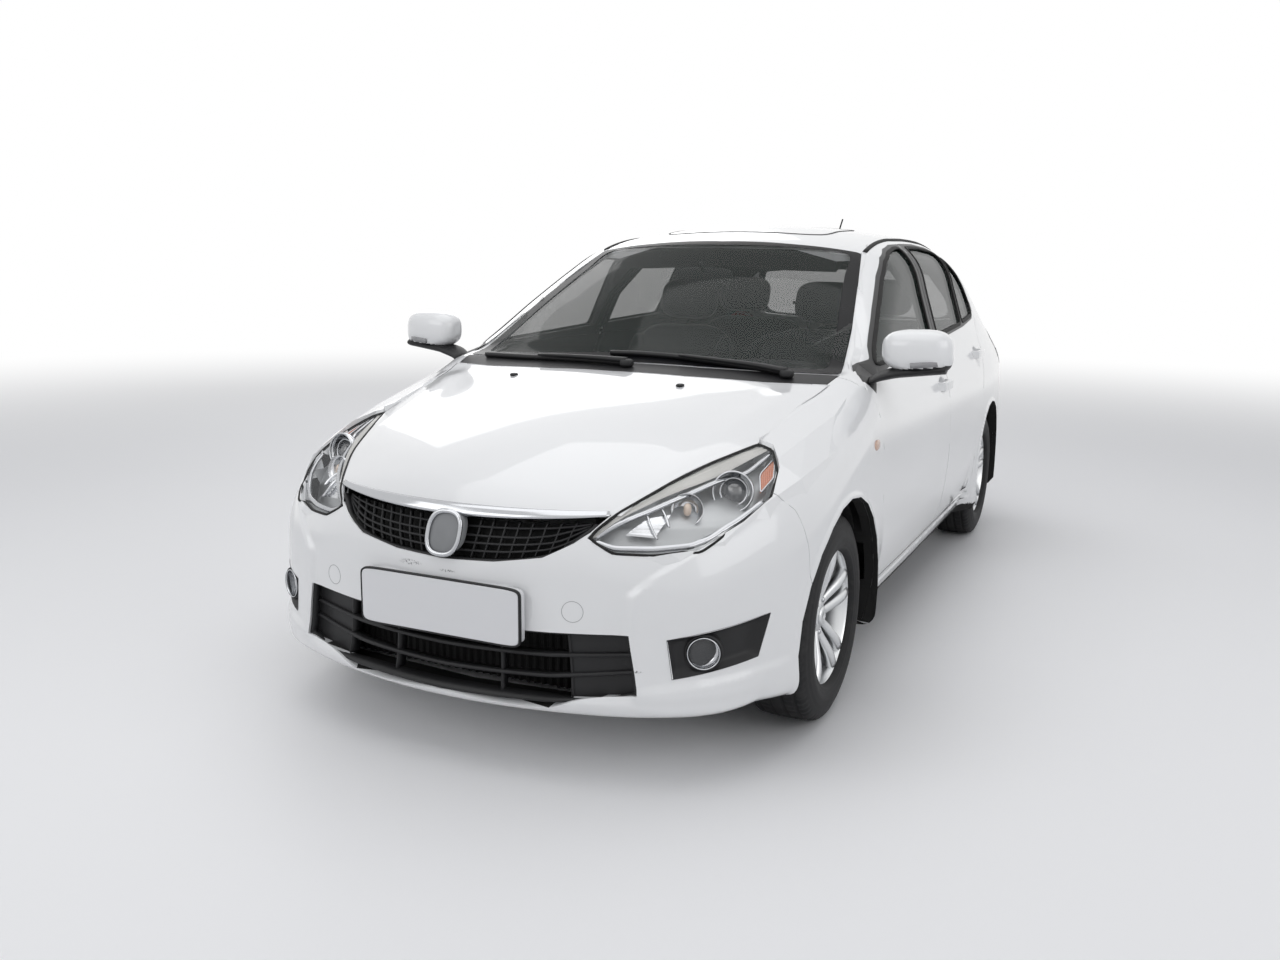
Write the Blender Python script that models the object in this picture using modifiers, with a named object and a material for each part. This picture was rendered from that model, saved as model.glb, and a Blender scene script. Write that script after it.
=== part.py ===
# A five-door hatchback family car, in metres, +Z up, its nose towards -Y.
# Its left side is towards +X, and the floor under its tyres is at z = 0.
import bpy
import bmesh
import math
import numpy as np
from mathutils import Matrix, Vector

for old_object in list(bpy.data.objects):
    bpy.data.objects.remove(old_object, do_unlink=True)

# Sizes of the whole car
length = 4.280
width = 1.724
height = 1.485
wheelbase = 2.610
front_overhang = 0.821
ground_clearance = 0.190

# Wheels and tyres
tyre_radius = 0.308
tyre_width = 0.205
rim_radius = 0.213
hub_radius = 0.062
disc_radius = 0.140
disc_thickness = 0.012
wheel_face_inset = 0.028
spoke_thickness = 0.016
arch_clearance = 0.054
steer_offset = 0.068
steer_limit = 30.0

# Walls, gaps and seats
body_wall = 0.040
fender_wall = 0.010
bumper_wall = 0.012
bonnet_wall = 0.018
bonnet_edge_depth = 0.030
lid_wall = 0.045
door_wall = 0.060
frame_wall = 0.042
flange_wall = 0.012
glass_wall = 0.006
door_gap = 0.006
panel_gap = 0.003
seat_gap = 0.0003
flange_width = 0.024
overrun = 0.050

# Openings of the moving panels, in degrees
door_open = 65.0
bonnet_open = 55.0
tailgate_open = 75.0

half_width = width / 2
front_y = -length / 2
rear_y = length / 2
front_axle_y = front_y + front_overhang
rear_axle_y = front_axle_y + wheelbase
track_x = half_width - wheel_face_inset - tyre_width / 2
arch_radius = tyre_radius + arch_clearance
steer_x = track_x - steer_offset

# Lines of the body: places are shares of the length, the height and half of the width
top_line_shares = [(-0.0325, 0.3771), (-0.0021, 0.4579), (0.0189, 0.5017), (0.0493, 0.5421),
                   (0.096, 0.5845), (0.1428, 0.6162), (0.1895, 0.6397), (0.2315, 0.6572),
                   (0.2596, 0.6707), (0.2853, 0.7037), (0.3484, 0.8013), (0.4044, 0.8822),
                   (0.4558, 0.9481), (0.4932, 0.9744), (0.5516, 0.9933), (0.6217, 1.0),
                   (0.6918, 0.9953), (0.7619, 0.9778), (0.8203, 0.9495), (0.8624, 0.9172),
                   (0.8951, 0.8653), (0.9278, 0.7912), (0.9558, 0.7138), (0.9745, 0.6465),
                   (0.9886, 0.5791), (1.0072, 0.4714)]
top_bow_shares = [(-0.0208, 0.0868), (0.0493, 0.0729), (0.1661, 0.0521), (0.2596, 0.0451),
                  (0.3764, 0.0451), (0.4932, 0.0417), (0.61, 0.0), (0.797, -0.0208),
                  (0.9371, -0.0278), (1.0072, -0.0347)]
top_crown_shares = [(-0.0208, 0.01), (0.0493, 0.03), (0.1428, 0.035), (0.2362, 0.02),
                    (0.2829, 0.0), (0.4465, 0.02), (0.5166, 0.045), (0.6334, 0.06),
                    (0.8203, 0.06), (0.9138, 0.05), (1.0072, 0.025)]
plan_shares = [(-0.0208, 0.9281), (0.0259, 0.9455), (0.096, 0.9768), (0.1918, 0.993),
               (0.3063, 0.9954), (0.4932, 1.0), (0.6801, 1.0), (0.8016, 0.9942),
               (0.8904, 0.9722), (0.9605, 0.9281), (1.0072, 0.8817)]
tuck_shares = [(0.101, 0.1102), (0.1481, 0.0812), (0.2155, 0.0406), (0.303, 0.0116),
               (0.404, 0.0), (0.4983, 0.0046), (0.5657, 0.0186), (0.6195, 0.0464),
               (0.6599, 0.0766), (0.7071, 0.1067), (0.8081, 0.1682), (0.9091, 0.232),
               (0.963, 0.2819), (1.0101, 0.3596)]
rear_tuck_shares = [(-0.0208, 0.0), (0.54, 0.0), (0.6801, 0.0046), (0.8203, 0.0255),
                    (0.9605, 0.0754), (1.0072, 0.0928)]
rear_tuck_height_shares = (0.5387, 0.8418)
nose_shares = [(0.0808, 0.0166), (0.1145, 0.0061), (0.1616, -0.0002), (0.2222, 0.0014),
               (0.303, 0.0014), (0.3704, 0.0026), (0.4377, 0.0061), (0.5051, 0.0143),
               (0.6061, 0.0376)]
nose_bow = 0.267
nose_corner_shares = [(0.523, 0.0949), (0.721, 0.448)]
tail_shares = [(0.0808, 0.9605), (0.1347, 0.9815), (0.2357, 0.9967), (0.3367, 1.0002),
               (0.4175, 0.9944), (0.4848, 0.9839), (0.5724, 0.9839), (0.6734, 0.9792),
               (0.8081, 0.9675)]
tail_bow = 0.104
tail_corner_shares = [(0.523, 0.0862), (0.767, 0.517)]
flare_reach = 0.130
shoulder_blend_shares = [(-0.0208, 0.0673), (0.1428, 0.0943), (0.2596, 0.0741), (0.3063, 0.0471),
                         (0.4699, 0.0606), (0.5867, 0.0943), (0.8437, 0.0943), (1.0072, 0.0673)]
nose_blend = 0.060
tail_blend = 0.070
sill_blend = 0.050


def along(share):
    return front_y + length * share


def side_points(shares):
    return [(along(s), height * t) for s, t in shares]


def plan_points(shares):
    return [(half_width * s, along(t)) for s, t in shares]


def face_points(shares):
    return [(half_width * s, height * t) for s, t in shares]


# A smooth line through a table of shares, which doesn't overshoot its points
def line_through(table):
    a = np.array([p[0] for p in table])
    b = np.array([p[1] for p in table])
    h = np.diff(a)
    d = np.diff(b) / h
    m = np.zeros_like(a)
    same = d[:-1] * d[1:] > 0
    w1 = 2 * h[1:] + h[:-1]
    w2 = h[1:] + 2 * h[:-1]
    d0 = np.where(same, d[:-1], 1)
    d1 = np.where(same, d[1:], 1)
    m[1:-1] = np.where(same, (w1 + w2) / (w1 / d0 + w2 / d1), 0)
    m[0] = d[0]
    m[-1] = d[-1]

    def value(t):
        t = np.asarray(t, float)
        i = np.clip(np.searchsorted(a, t) - 1, 0, len(h) - 1)
        s = (t - a[i]) / h[i]
        rise = (2 * s**3 - 3 * s**2 + 1) * b[i] + (3 * s**2 - 2 * s**3) * b[i + 1]
        bend = (s**3 - 2 * s**2 + s) * m[i] + (s**3 - s**2) * m[i + 1]
        low = b[0] + m[0] * (t - a[0])
        high = b[-1] + m[-1] * (t - a[-1])
        return np.where(t < a[0], low, np.where(t > a[-1], high, rise + bend * h[i]))
    return value


def ease(a, b, t):
    s = np.clip((t - a) / (b - a), 0, 1)
    return s * s * (3 - 2 * s)


def blend(a, b, reach):
    s = np.clip(1 - np.abs(a - b) / reach, 0, 1)
    return np.maximum(a, b) + s * s * reach / 4


top_line = line_through(top_line_shares)
top_bow = line_through(top_bow_shares)
top_crown = line_through(top_crown_shares)
plan_line = line_through(plan_shares)
tuck_line = line_through(tuck_shares)
rear_tuck_line = line_through(rear_tuck_shares)
nose_line = line_through(nose_shares)
tail_line = line_through(tail_shares)
blend_line = line_through(shoulder_blend_shares)


def share_of(y):
    return (y - front_y) / length


def top_z(x, y):
    u = share_of(y)
    w = (x / half_width)**2
    return height * (top_line(u - top_bow(u) * w) - top_crown(u) * w)


def side_x(y, z):
    u = share_of(y)
    v = z / height
    near_front = np.hypot(y - front_axle_y, z - tyre_radius)
    near_rear = np.hypot(y - rear_axle_y, z - tyre_radius)
    near = np.minimum(near_front, near_rear)
    low = np.where(v < tuck_shares[4][0], 1 - ease(arch_radius, arch_radius + flare_reach, near), 0)
    rear = rear_tuck_line(u) * ease(rear_tuck_height_shares[0], rear_tuck_height_shares[1], v)
    return half_width * (plan_line(u) - tuck_line(v) * (1 - low) - rear)


def nose_y(x, z):
    w = np.abs(x) / half_width
    corner = sum(k * np.clip(w - start, 0, None)**2 for start, k in nose_corner_shares)
    return along(nose_line(z / height)) + nose_bow * w**2 + length * corner


def tail_y(x, z):
    w = np.abs(x) / half_width
    corner = sum(k * np.clip(w - start, 0, None)**2 for start, k in tail_corner_shares)
    return along(tail_line(z / height)) - tail_bow * w**2 - length * corner


# Distance outside the body's skin, taken as negative inside it
def skin_distance(p):
    x = np.abs(p[..., 0])
    y = p[..., 1]
    z = p[..., 2]
    e = flange_width / 2
    slope_y = (top_z(x, y + e) - top_z(x, y - e)) / (2 * e)
    over = (z - top_z(x, y)) / np.sqrt(1 + slope_y**2)
    value = blend(x - side_x(y, z), over, height * blend_line(share_of(y)))
    slope_x = (nose_y(x + e, z) - nose_y(x, z)) / e
    value = blend(value, (nose_y(x, z) - y) / np.sqrt(1 + slope_x**2), nose_blend)
    slope_x = (tail_y(x + e, z) - tail_y(x, z)) / e
    value = blend(value, (y - tail_y(x, z)) / np.sqrt(1 + slope_x**2), tail_blend)
    return blend(value, ground_clearance - z, sill_blend)


# Points on the skin, or as deep as depth says, along rays from origins inside the body
def cast(origin, direction, depth):
    near = np.zeros(direction.shape[:-1])
    far = np.full(direction.shape[:-1], length)
    for halving in range(36):
        middle = (near + far) / 2
        inside = skin_distance(origin + direction * middle[..., None]) < -depth
        near = np.where(inside, middle, near)
        far = np.where(inside, far, middle)
    return origin + direction * near[..., None]


deep_wall = 0.032
spine_height_shares = (0.303, 0.4175)
stretch_low_shares = (0.3367, 0.5791)
cabin_start_shares = (0.2245, 0.4114)
nose_ring_shares = [(0.0, 0.1279), (0.8121, 0.1279), (0.9165, 0.1448), (0.9745, 0.2222), (0.9977, 0.3165),
                    (0.9977, 0.404), (0.9861, 0.4714), (0.9513, 0.532), (0.8817, 0.569), (0.7889, 0.5872),
                    (0.6729, 0.598), (0.5336, 0.6061), (0.3712, 0.6108), (0.1856, 0.6148), (0.0, 0.6162)]
cabin_ring_shares = [(0.0, 0.1279), (0.8121, 0.1279), (0.9165, 0.1448), (0.9745, 0.2222), (0.9977, 0.3165),
                     (1.0, 0.4175), (0.9954, 0.5118), (0.9745, 0.5791), (0.9397, 0.633), (0.8759, 0.7138),
                     (0.8121, 0.8081), (0.7309, 0.9226), (0.6032, 0.9731), (0.3248, 0.9933), (0.0, 1.0)]
deep_ring_picks = (0, 1, 3, 4, 6, 8, 10, 12, 14)
station_shares = (0.0914, 0.1287, 0.1708, 0.2199, 0.2713, 0.311, 0.3764, 0.4652, 0.5259, 0.6241,
                  0.7222, 0.797, 0.8671)
# Rings past the ends of the spine: where the rays aim, where the top is read, and their size
nose_start_share = 0.1194
nose_cap_shares = [(-0.0044, 0.0166, 0.32), (-0.0044, 0.0166, 0.65), (-0.0044, 0.0166, 0.90),
                   (0.0306, 0.0306, 1.0)]
tail_start_share = 0.8086
tail_cap_shares = [(0.9138, 0.9138, 1.0), (0.9488, 0.9488, 1.0), (1.0002, 0.9745, 0.90), (1.0002, 0.9745, 0.62),
                   (1.0002, 0.9745, 0.30)]


# One closed ring of points on the skin, or depth inside it; its rays start half way to the ring they aim at
def ring(start, end, top, size, depth, pick):
    mix = float(ease(cabin_start_shares[0], cabin_start_shares[1], start))
    table = (1 - mix) * np.array(nose_ring_shares) + mix * np.array(cabin_ring_shares)
    if pick > 1:
        table = table[list(deep_ring_picks)]
    centre = height * ((1 - mix) * spine_height_shares[0] + mix * spine_height_shares[1])
    low = height * ((1 - mix) * stretch_low_shares[0] + mix * stretch_low_shares[1])
    x = half_width * table[:, 0]
    z = height * table[:, 1]
    stretch = (float(top_z(0.0, along(top))) - low) / (z[-1] - low)
    z = np.where(z > low, low + (z - low) * stretch, z)
    x = np.concatenate([x, -x[-2:0:-1]]) * size
    z = (np.concatenate([z, z[-2:0:-1]]) - centre) * size
    from_here = np.stack([x / 2, np.full_like(x, along(start)), centre + z / 2], axis=-1)
    to_there = np.stack([x, np.full_like(x, along(end)), centre + z], axis=-1)
    way = to_there - from_here
    way /= np.linalg.norm(way, axis=-1, keepdims=True)
    return cast(from_here, way, depth)


# The whole body as one closed solid, depth inside its skin, coarser where it is deep
def hull(depth):
    pick = 2 if depth > deep_wall else 1
    rows = [ring(nose_start_share, end, top, size, depth, pick) for end, top, size in nose_cap_shares[::pick]]
    rows += [ring(s, s, s, 1.0, depth, pick) for s in station_shares[::pick]]
    rows += [ring(tail_start_share, end, top, size, depth, pick) for end, top, size in tail_cap_shares[pick - 1::pick]]
    count = len(rows[0])
    ends = []
    for share, level, tilt in ((nose_start_share, 0, -1), (tail_start_share, 1, 1)):
        origin = np.array([[0, along(share), height * spine_height_shares[level]]])
        ends.append(cast(origin, np.array([[0, tilt, 0]]), depth)[0])
    points = [tuple(p) for row in rows for p in row] + [tuple(p) for p in ends]
    faces = []
    for i in range(len(rows) - 1):
        for j in range(count):
            k = (j + 1) % count
            corners = (i * count + j, i * count + k, (i + 1) * count + k, (i + 1) * count + j)
            if j < count // 2:
                faces += [(corners[0], corners[1], corners[2]), (corners[0], corners[2], corners[3])]
            else:
                faces += [(corners[0], corners[1], corners[3]), (corners[1], corners[2], corners[3])]
    nose = len(points) - 2
    tail = len(points) - 1
    last = (len(rows) - 1) * count
    for j in range(count):
        k = (j + 1) % count
        faces.append((nose, k, j))
        faces.append((tail, last + j, last + k))
    mesh = bpy.data.meshes.new('hull')
    mesh.from_pydata(points, [], faces)
    return tidy(outward(mesh))


def outward(mesh):
    bm = bmesh.new()
    bm.from_mesh(mesh)
    bmesh.ops.recalc_face_normals(bm, faces=bm.faces)
    if bm.calc_volume(signed=True) < 0:
        bmesh.ops.reverse_faces(bm, faces=bm.faces)
    bm.to_mesh(mesh)
    bm.free()
    return mesh


weld = 0.00001
flat_angle = 0.1


# Collections: one for the car, one for what only cuts
car = bpy.data.collections.new('hatchback_car')
bpy.context.scene.collection.children.link(car)
bench = bpy.data.collections.new('cutters')
bpy.context.scene.collection.children.link(bench)


def evaluated(holder):
    depsgraph = bpy.context.evaluated_depsgraph_get()
    depsgraph.update()
    return bpy.data.meshes.new_from_object(holder.evaluated_get(depsgraph))


def boolean(base, cutter, operation):
    holder = bpy.data.objects.new('work', base)
    tool = bpy.data.objects.new('tool', cutter)
    for item in (holder, tool):
        bench.objects.link(item)
        item.hide_render = True
        item.display_type = 'WIRE'
    modifier = holder.modifiers.new('cut', 'BOOLEAN')
    modifier.operation = operation
    modifier.solver = 'EXACT'
    modifier.object = tool
    mesh = evaluated(holder)
    bpy.data.objects.remove(holder)
    bpy.data.objects.remove(tool)
    return tidy(mesh)


# Plain triangles without slivers, which the next Boolean cuts cleanly
def tidy(mesh):
    bm = bmesh.new()
    bm.from_mesh(mesh)
    bmesh.ops.remove_doubles(bm, verts=bm.verts, dist=weld)
    bmesh.ops.dissolve_degenerate(bm, edges=bm.edges, dist=weld)
    bmesh.ops.triangulate(bm, faces=bm.faces)
    bm.to_mesh(mesh)
    bm.free()
    return mesh


def minus(base, *cutters):
    for cutter in cutters:
        base = boolean(base, cutter, 'DIFFERENCE')
    return base


def common(base, cutter):
    return boolean(base, cutter, 'INTERSECT')


def union(base, *others):
    for other in others:
        base = boolean(base, other, 'UNION')
    return base


def joined(*meshes):
    bm = bmesh.new()
    for mesh in meshes:
        bm.from_mesh(mesh)
    out = bpy.data.meshes.new('joined')
    bm.to_mesh(out)
    bm.free()
    return out


def moved(mesh, matrix):
    out = mesh.copy()
    out.transform(matrix)
    if matrix.determinant() < 0:
        out.flip_normals()
    return out


def mirrored(mesh):
    return moved(mesh, Matrix.Scale(-1, 4, Vector((1, 0, 0))))


def shell(outer_depth, inner_depth):
    inner = hulls(inner_depth).copy()
    inner.flip_normals()
    return joined(hulls(outer_depth), inner)


hull_store = {}


def hulls(depth):
    if depth not in hull_store:
        hull_store[depth] = hull(depth)
    return hull_store[depth]


# A closed flat outline made thick, from a filled 2D curve
def plate(points, low, high):
    curve = bpy.data.curves.new('outline', 'CURVE')
    curve.dimensions = '2D'
    curve.fill_mode = 'BOTH'
    curve.extrude = (high - low) / 2
    spline = curve.splines.new('POLY')
    spline.points.add(len(points) - 1)
    for point, (a, b) in zip(spline.points, points):
        point.co = (a, b, 0, 1)
    spline.use_cyclic_u = True
    holder = bpy.data.objects.new('outline', curve)
    bench.objects.link(holder)
    mesh = evaluated(holder)
    bpy.data.objects.remove(holder)
    bm = bmesh.new()
    bm.from_mesh(mesh)
    bmesh.ops.remove_doubles(bm, verts=bm.verts, dist=weld)
    bmesh.ops.translate(bm, verts=bm.verts, vec=(0, 0, (low + high) / 2))
    bm.to_mesh(mesh)
    bm.free()
    return outward(mesh)


side_frame = Matrix(((0, 0, 1, 0), (1, 0, 0, 0), (0, 1, 0, 0), (0, 0, 0, 1)))
face_frame = Matrix(((1, 0, 0, 0), (0, 0, -1, 0), (0, 1, 0, 0), (0, 0, 0, 1)))


# Outline of (y, z) points, made thick along x
def side_plate(points, low, high):
    return outward(moved(plate(points, low, high), side_frame))


# Outline of (x, z) points, made thick along y
def face_plate(points, low, high):
    return outward(moved(plate(points, -high, -low), face_frame))


# Outline of points in space, made thick along a slanted way, from low to high past its middle
def slanted_plate(points, way, low, high):
    spots = [Vector(p) for p in points]
    middle = sum(spots, Vector()) / len(spots)
    turn = Vector(way).normalized().to_track_quat('Z', 'Y').to_matrix().to_4x4()
    frame = Matrix.Translation(middle) @ turn
    back = frame.inverted()
    flat = [(back @ p)[:2] for p in spots]
    return outward(moved(plate(flat, low, high), frame))


def grown(points, distance):
    count = len(points)
    area = sum(points[i - 1][0] * points[i][1] - points[i][0] * points[i - 1][1] for i in range(count))
    turn = 1 if area > 0 else -1
    out = []
    for i in range(count):
        a = Vector(points[i - 1][:2])
        b = Vector(points[i][:2])
        c = Vector(points[(i + 1) % count][:2])
        u = (b - a).normalized()
        v = (c - b).normalized()
        n = Vector((u.y, -u.x)) + Vector((v.y, -v.x))
        n = n.normalized()
        reach = distance / max(n.dot(Vector((u.y, -u.x))), 0.5)
        out.append(tuple(b + n * reach * turn))
    return out


def box(low, high, bevel=0):
    bm = bmesh.new()
    bmesh.ops.create_cube(bm, size=1)
    size = Vector(high) - Vector(low)
    bmesh.ops.scale(bm, verts=bm.verts, vec=size)
    bmesh.ops.translate(bm, verts=bm.verts, vec=(Vector(high) + Vector(low)) / 2)
    if bevel:
        bmesh.ops.bevel(bm, geom=bm.edges[:], offset=bevel, segments=1, profile=0.5, affect='EDGES')
    mesh = bpy.data.meshes.new('box')
    bm.to_mesh(mesh)
    bm.free()
    return outward(mesh)


# A round bar between two points
def bar(start, end, radius, sides=12, end_radius=None):
    a = Vector(start)
    b = Vector(end)
    bm = bmesh.new()
    bmesh.ops.create_cone(bm, cap_ends=True, segments=sides, radius1=radius,
                          radius2=radius if end_radius is None else end_radius, depth=(b - a).length)
    turn = (b - a).to_track_quat('Z', 'Y').to_matrix().to_4x4()
    bm.transform(Matrix.Translation((a + b) / 2) @ turn)
    mesh = bpy.data.meshes.new('bar')
    bm.to_mesh(mesh)
    bm.free()
    return outward(mesh)


# A closed profile of (x, r) points turned about the x axis
def turned(profile, steps):
    mesh = bpy.data.meshes.new('profile')
    count = len(profile)
    mesh.from_pydata([(x, 0, r) for x, r in profile], [(i, (i + 1) % count) for i in range(count)], [])
    holder = bpy.data.objects.new('profile', mesh)
    bench.objects.link(holder)
    screw = holder.modifiers.new('turn', 'SCREW')
    screw.axis = 'X'
    screw.steps = steps
    screw.render_steps = steps
    screw.use_merge_vertices = True
    screw.merge_threshold = weld
    out = evaluated(holder)
    bpy.data.objects.remove(holder)
    return outward(out)


def material(name, color, roughness, metallic=0.0):
    m = bpy.data.materials.new(name)
    m.use_nodes = True
    shader = m.node_tree.nodes['Principled BSDF']
    shader.inputs['Base Color'].default_value = (*color, 1)
    shader.inputs['Roughness'].default_value = roughness
    shader.inputs['Metallic'].default_value = metallic
    return m


white_paint = material('white_paint', (0.86, 0.86, 0.85), 0.25)
black_plastic = material('black_plastic', (0.02, 0.02, 0.021), 0.5)
dark_trim = material('dark_trim', (0.05, 0.05, 0.052), 0.7)
clear_glass = material('clear_glass', (0.55, 0.62, 0.60), 0.05)
lamp_glass = material('lamp_glass', (0.72, 0.74, 0.76), 0.1)
red_lens = material('red_lens', (0.45, 0.02, 0.02), 0.15)
rubber = material('rubber', (0.025, 0.025, 0.026), 0.85)
alloy = material('alloy', (0.70, 0.71, 0.72), 0.3, 0.9)
chassis_steel = material('chassis_steel', (0.18, 0.18, 0.19), 0.5, 0.8)
cast_metal = material('cast_metal', (0.35, 0.35, 0.36), 0.5, 0.9)
seat_cloth = material('seat_cloth', (0.06, 0.06, 0.065), 0.9)
bright_metal = material('bright_metal', (0.80, 0.80, 0.81), 0.1, 1.0)
plate_white = material('plate_white', (0.80, 0.80, 0.80), 0.4)


def empty(name, place, parent=None):
    holder = bpy.data.objects.new(name, None)
    car.objects.link(holder)
    holder.location = Vector(place)
    if parent:
        holder.parent = parent
        holder.location = Vector(place) - world_place(parent)
    return holder


def world_place(item):
    place = item.location.copy()
    while item.parent:
        item = item.parent
        place += item.location
    return place


# A finished sub-part, whose mesh is in the car's frame
def piece(name, solid, look, parent=None):
    mesh = solid.copy()
    bm = bmesh.new()
    bm.from_mesh(mesh)
    bmesh.ops.remove_doubles(bm, verts=bm.verts, dist=weld)
    bmesh.ops.dissolve_degenerate(bm, edges=bm.edges, dist=weld)
    bmesh.ops.dissolve_limit(bm, angle_limit=math.radians(flat_angle), verts=bm.verts, edges=bm.edges)
    bmesh.ops.triangulate(bm, faces=bm.faces)
    bm.to_mesh(mesh)
    bm.free()
    mesh.name = name
    mesh.materials.clear()
    mesh.materials.append(look)
    item = bpy.data.objects.new(name, mesh)
    car.objects.link(item)
    if parent:
        item.parent = parent
        mesh.transform(Matrix.Translation(-world_place(parent)))
    return item


# Outlines of the panels: side views as (length, height), plans as (half width, length),
# faces as (half width, height), and points in space as all three
front_door_shares = [(0.2946, 0.1953), (0.2888, 0.303), (0.2841, 0.4175), (0.2825, 0.5118),
                     (0.2801, 0.5791), (0.2771, 0.6296), (0.2923, 0.6633), (0.3297, 0.7138),
                     (0.3787, 0.7946), (0.4301, 0.8721), (0.4652, 0.9192), (0.4932, 0.9428),
                     (0.5259, 0.9562), (0.5633, 0.9616), (0.5516, 0.8081), (0.5435, 0.6869),
                     (0.5411, 0.5387), (0.5411, 0.3367), (0.5411, 0.1953)]
rear_door_shares = [(0.5411, 0.1953), (0.5411, 0.3367), (0.5411, 0.5387), (0.5435, 0.6869),
                    (0.5516, 0.8081), (0.5633, 0.9616), (0.6334, 0.963), (0.6918, 0.9549),
                    (0.7386, 0.9347), (0.7736, 0.899), (0.7993, 0.8384), (0.8075, 0.7744),
                    (0.7993, 0.7205), (0.7736, 0.6532), (0.7502, 0.5791), (0.7339, 0.4983),
                    (0.7187, 0.404), (0.707, 0.303), (0.6988, 0.1953)]
front_window_shares = [(0.325, 0.6768), (0.339, 0.7037), (0.3857, 0.7798), (0.4348, 0.8539),
                       (0.4699, 0.901), (0.4979, 0.9239), (0.5283, 0.936), (0.5481, 0.938),
                       (0.5364, 0.8081), (0.5294, 0.7003), (0.4465, 0.6902)]
rear_window_shares = [(0.5575, 0.7037), (0.5645, 0.8081), (0.5773, 0.9394), (0.6334, 0.9407),
                      (0.6895, 0.9327), (0.7129, 0.9212), (0.7035, 0.8081), (0.6942, 0.7178)]
quarter_window_shares = [(0.7047, 0.7205), (0.714, 0.8081), (0.7234, 0.9145), (0.7456, 0.899),
                         (0.7713, 0.864), (0.7888, 0.8182), (0.7946, 0.7744), (0.7864, 0.7327)]
belt_height_share = 0.6734
fender_shares = [(0.1194, 0.1347), (0.1194, 0.3367), (0.1166, 0.404), (0.1112, 0.4714),
                 (0.0995, 0.5152), (0.0727, 0.6061), (0.0727, 0.7071), (0.2759, 0.7071),
                 (0.2759, 0.637), (0.2771, 0.6296), (0.2801, 0.5791), (0.2825, 0.5118),
                 (0.2841, 0.4175), (0.2888, 0.303), (0.2946, 0.1953), (0.2946, 0.1347)]
front_bumper_shares = [(-0.0675, 0.0337), (0.1428, 0.0337), (0.1194, 0.1347), (0.1194, 0.3367),
                       (0.1166, 0.404), (0.1112, 0.4714), (0.0995, 0.5152), (-0.0675, 0.5152)]
rear_bumper_shares = [(1.054, 0.0337), (0.8671, 0.0337), (0.8717, 0.1347), (0.8764, 0.303),
                      (0.8881, 0.3636), (0.9091, 0.4175), (0.9371, 0.4579), (0.9675, 0.4714),
                      (1.054, 0.4714)]
bonnet_shares = [(0.0, 0.2304), (0.29, 0.2343), (0.58, 0.2456), (0.8039, 0.2596),
                 (0.768, 0.2129), (0.7517, 0.1661), (0.7425, 0.1451), (0.6647, 0.1054),
                 (0.58, 0.0633), (0.5162, 0.0388), (0.348, 0.0271), (0.174, 0.0201),
                 (0.0, 0.0178)]
windscreen_shares = [(0.0, 0.2584), (0.29, 0.2619), (0.58, 0.2701), (0.8121, 0.2818),
                     (0.7599, 0.3484), (0.6961, 0.4091), (0.6323, 0.4652), (0.348, 0.4582),
                     (0.0, 0.4547)]
cowl_shares = [(0.0, 0.2318), (0.29, 0.2357), (0.58, 0.247), (0.7947, 0.2605),
               (0.8121, 0.2806), (0.58, 0.2689), (0.29, 0.2607), (0.0, 0.2572)]
screen_trim_shares = [(0.0, 0.2318), (0.58, 0.247), (0.7947, 0.2605), (0.8121, 0.2818),
                      (0.7599, 0.3484), (0.6961, 0.4091), (0.6323, 0.4652), (0.0, 0.4547)]
intake_shares = [(0.0, 0.2774), (0.348, 0.2788), (0.58, 0.2828), (0.6067, 0.1805),
                 (0.348, 0.1589), (0.0, 0.1535)]
grille_shares = [(0.0, 0.3892), (0.174, 0.3939), (0.3248, 0.4081), (0.4084, 0.4343),
                 (0.4501, 0.4525), (0.5104, 0.4949), (0.5104, 0.532), (0.0, 0.532)]
fog_shares = [(0.6821, 0.0329, 0.2774), (0.9037, 0.082, 0.303), (0.8805, 0.075, 0.231),
              (0.6972, 0.0353, 0.2094)]
lamp_shares = [(0.7483, 0.1444, 0.5778), (0.8005, 0.1428, 0.5737), (0.8561, 0.1224, 0.5421),
               (0.8782, 0.0979, 0.5037), (0.8353, 0.0727, 0.4714), (0.7448, 0.0465, 0.4316),
               (0.6381, 0.0318, 0.4229), (0.5255, 0.0227, 0.4229), (0.4524, 0.021, 0.4465),
               (0.5162, 0.0379, 0.4902), (0.58, 0.0621, 0.5192), (0.6671, 0.1044, 0.5542)]
tail_lamp_shares = [(0.8353, 0.9138, 0.7138), (0.9165, 0.8881, 0.6431), (0.9281, 0.9044, 0.5589),
                    (0.8817, 0.9442, 0.5017), (0.8005, 0.9699, 0.4916), (0.7193, 0.9792, 0.5219),
                    (0.7216, 0.9722, 0.6263), (0.7285, 0.9582, 0.7071), (0.7657, 0.9371, 0.734)]
tailgate_shares = [(0.0, 0.3939), (0.464, 0.3973), (0.6497, 0.4175), (0.6961, 0.4714),
                   (0.7042, 0.5724), (0.71, 0.7071), (0.6787, 0.8081), (0.6148, 0.8923),
                   (0.29, 0.9104), (0.0, 0.9145)]
tailgate_glass_shares = [(0.0, 0.6835), (0.464, 0.6869), (0.6206, 0.697), (0.6381, 0.7273),
                         (0.6032, 0.8081), (0.551, 0.8687), (0.29, 0.8835), (0.0, 0.8875)]
hinge_y_share = 0.8671


def both_sides(points):
    left = [(-a, b) for a, b in points if a > 0]
    return points + left[::-1]


def space_points(shares):
    return [(half_width * a, along(b), height * c) for a, b, c in shares]


inner_x = half_width * 0.5336
outer_x = half_width + overrun


def side_cut(points, distance=0):
    start = inner_x if distance >= 0 else inner_x + door_gap * 2
    return side_plate(grown(points, distance), start, outer_x)


def plan_cut(points, distance, low, high):
    return plate(grown(points, distance), low, high)


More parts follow.
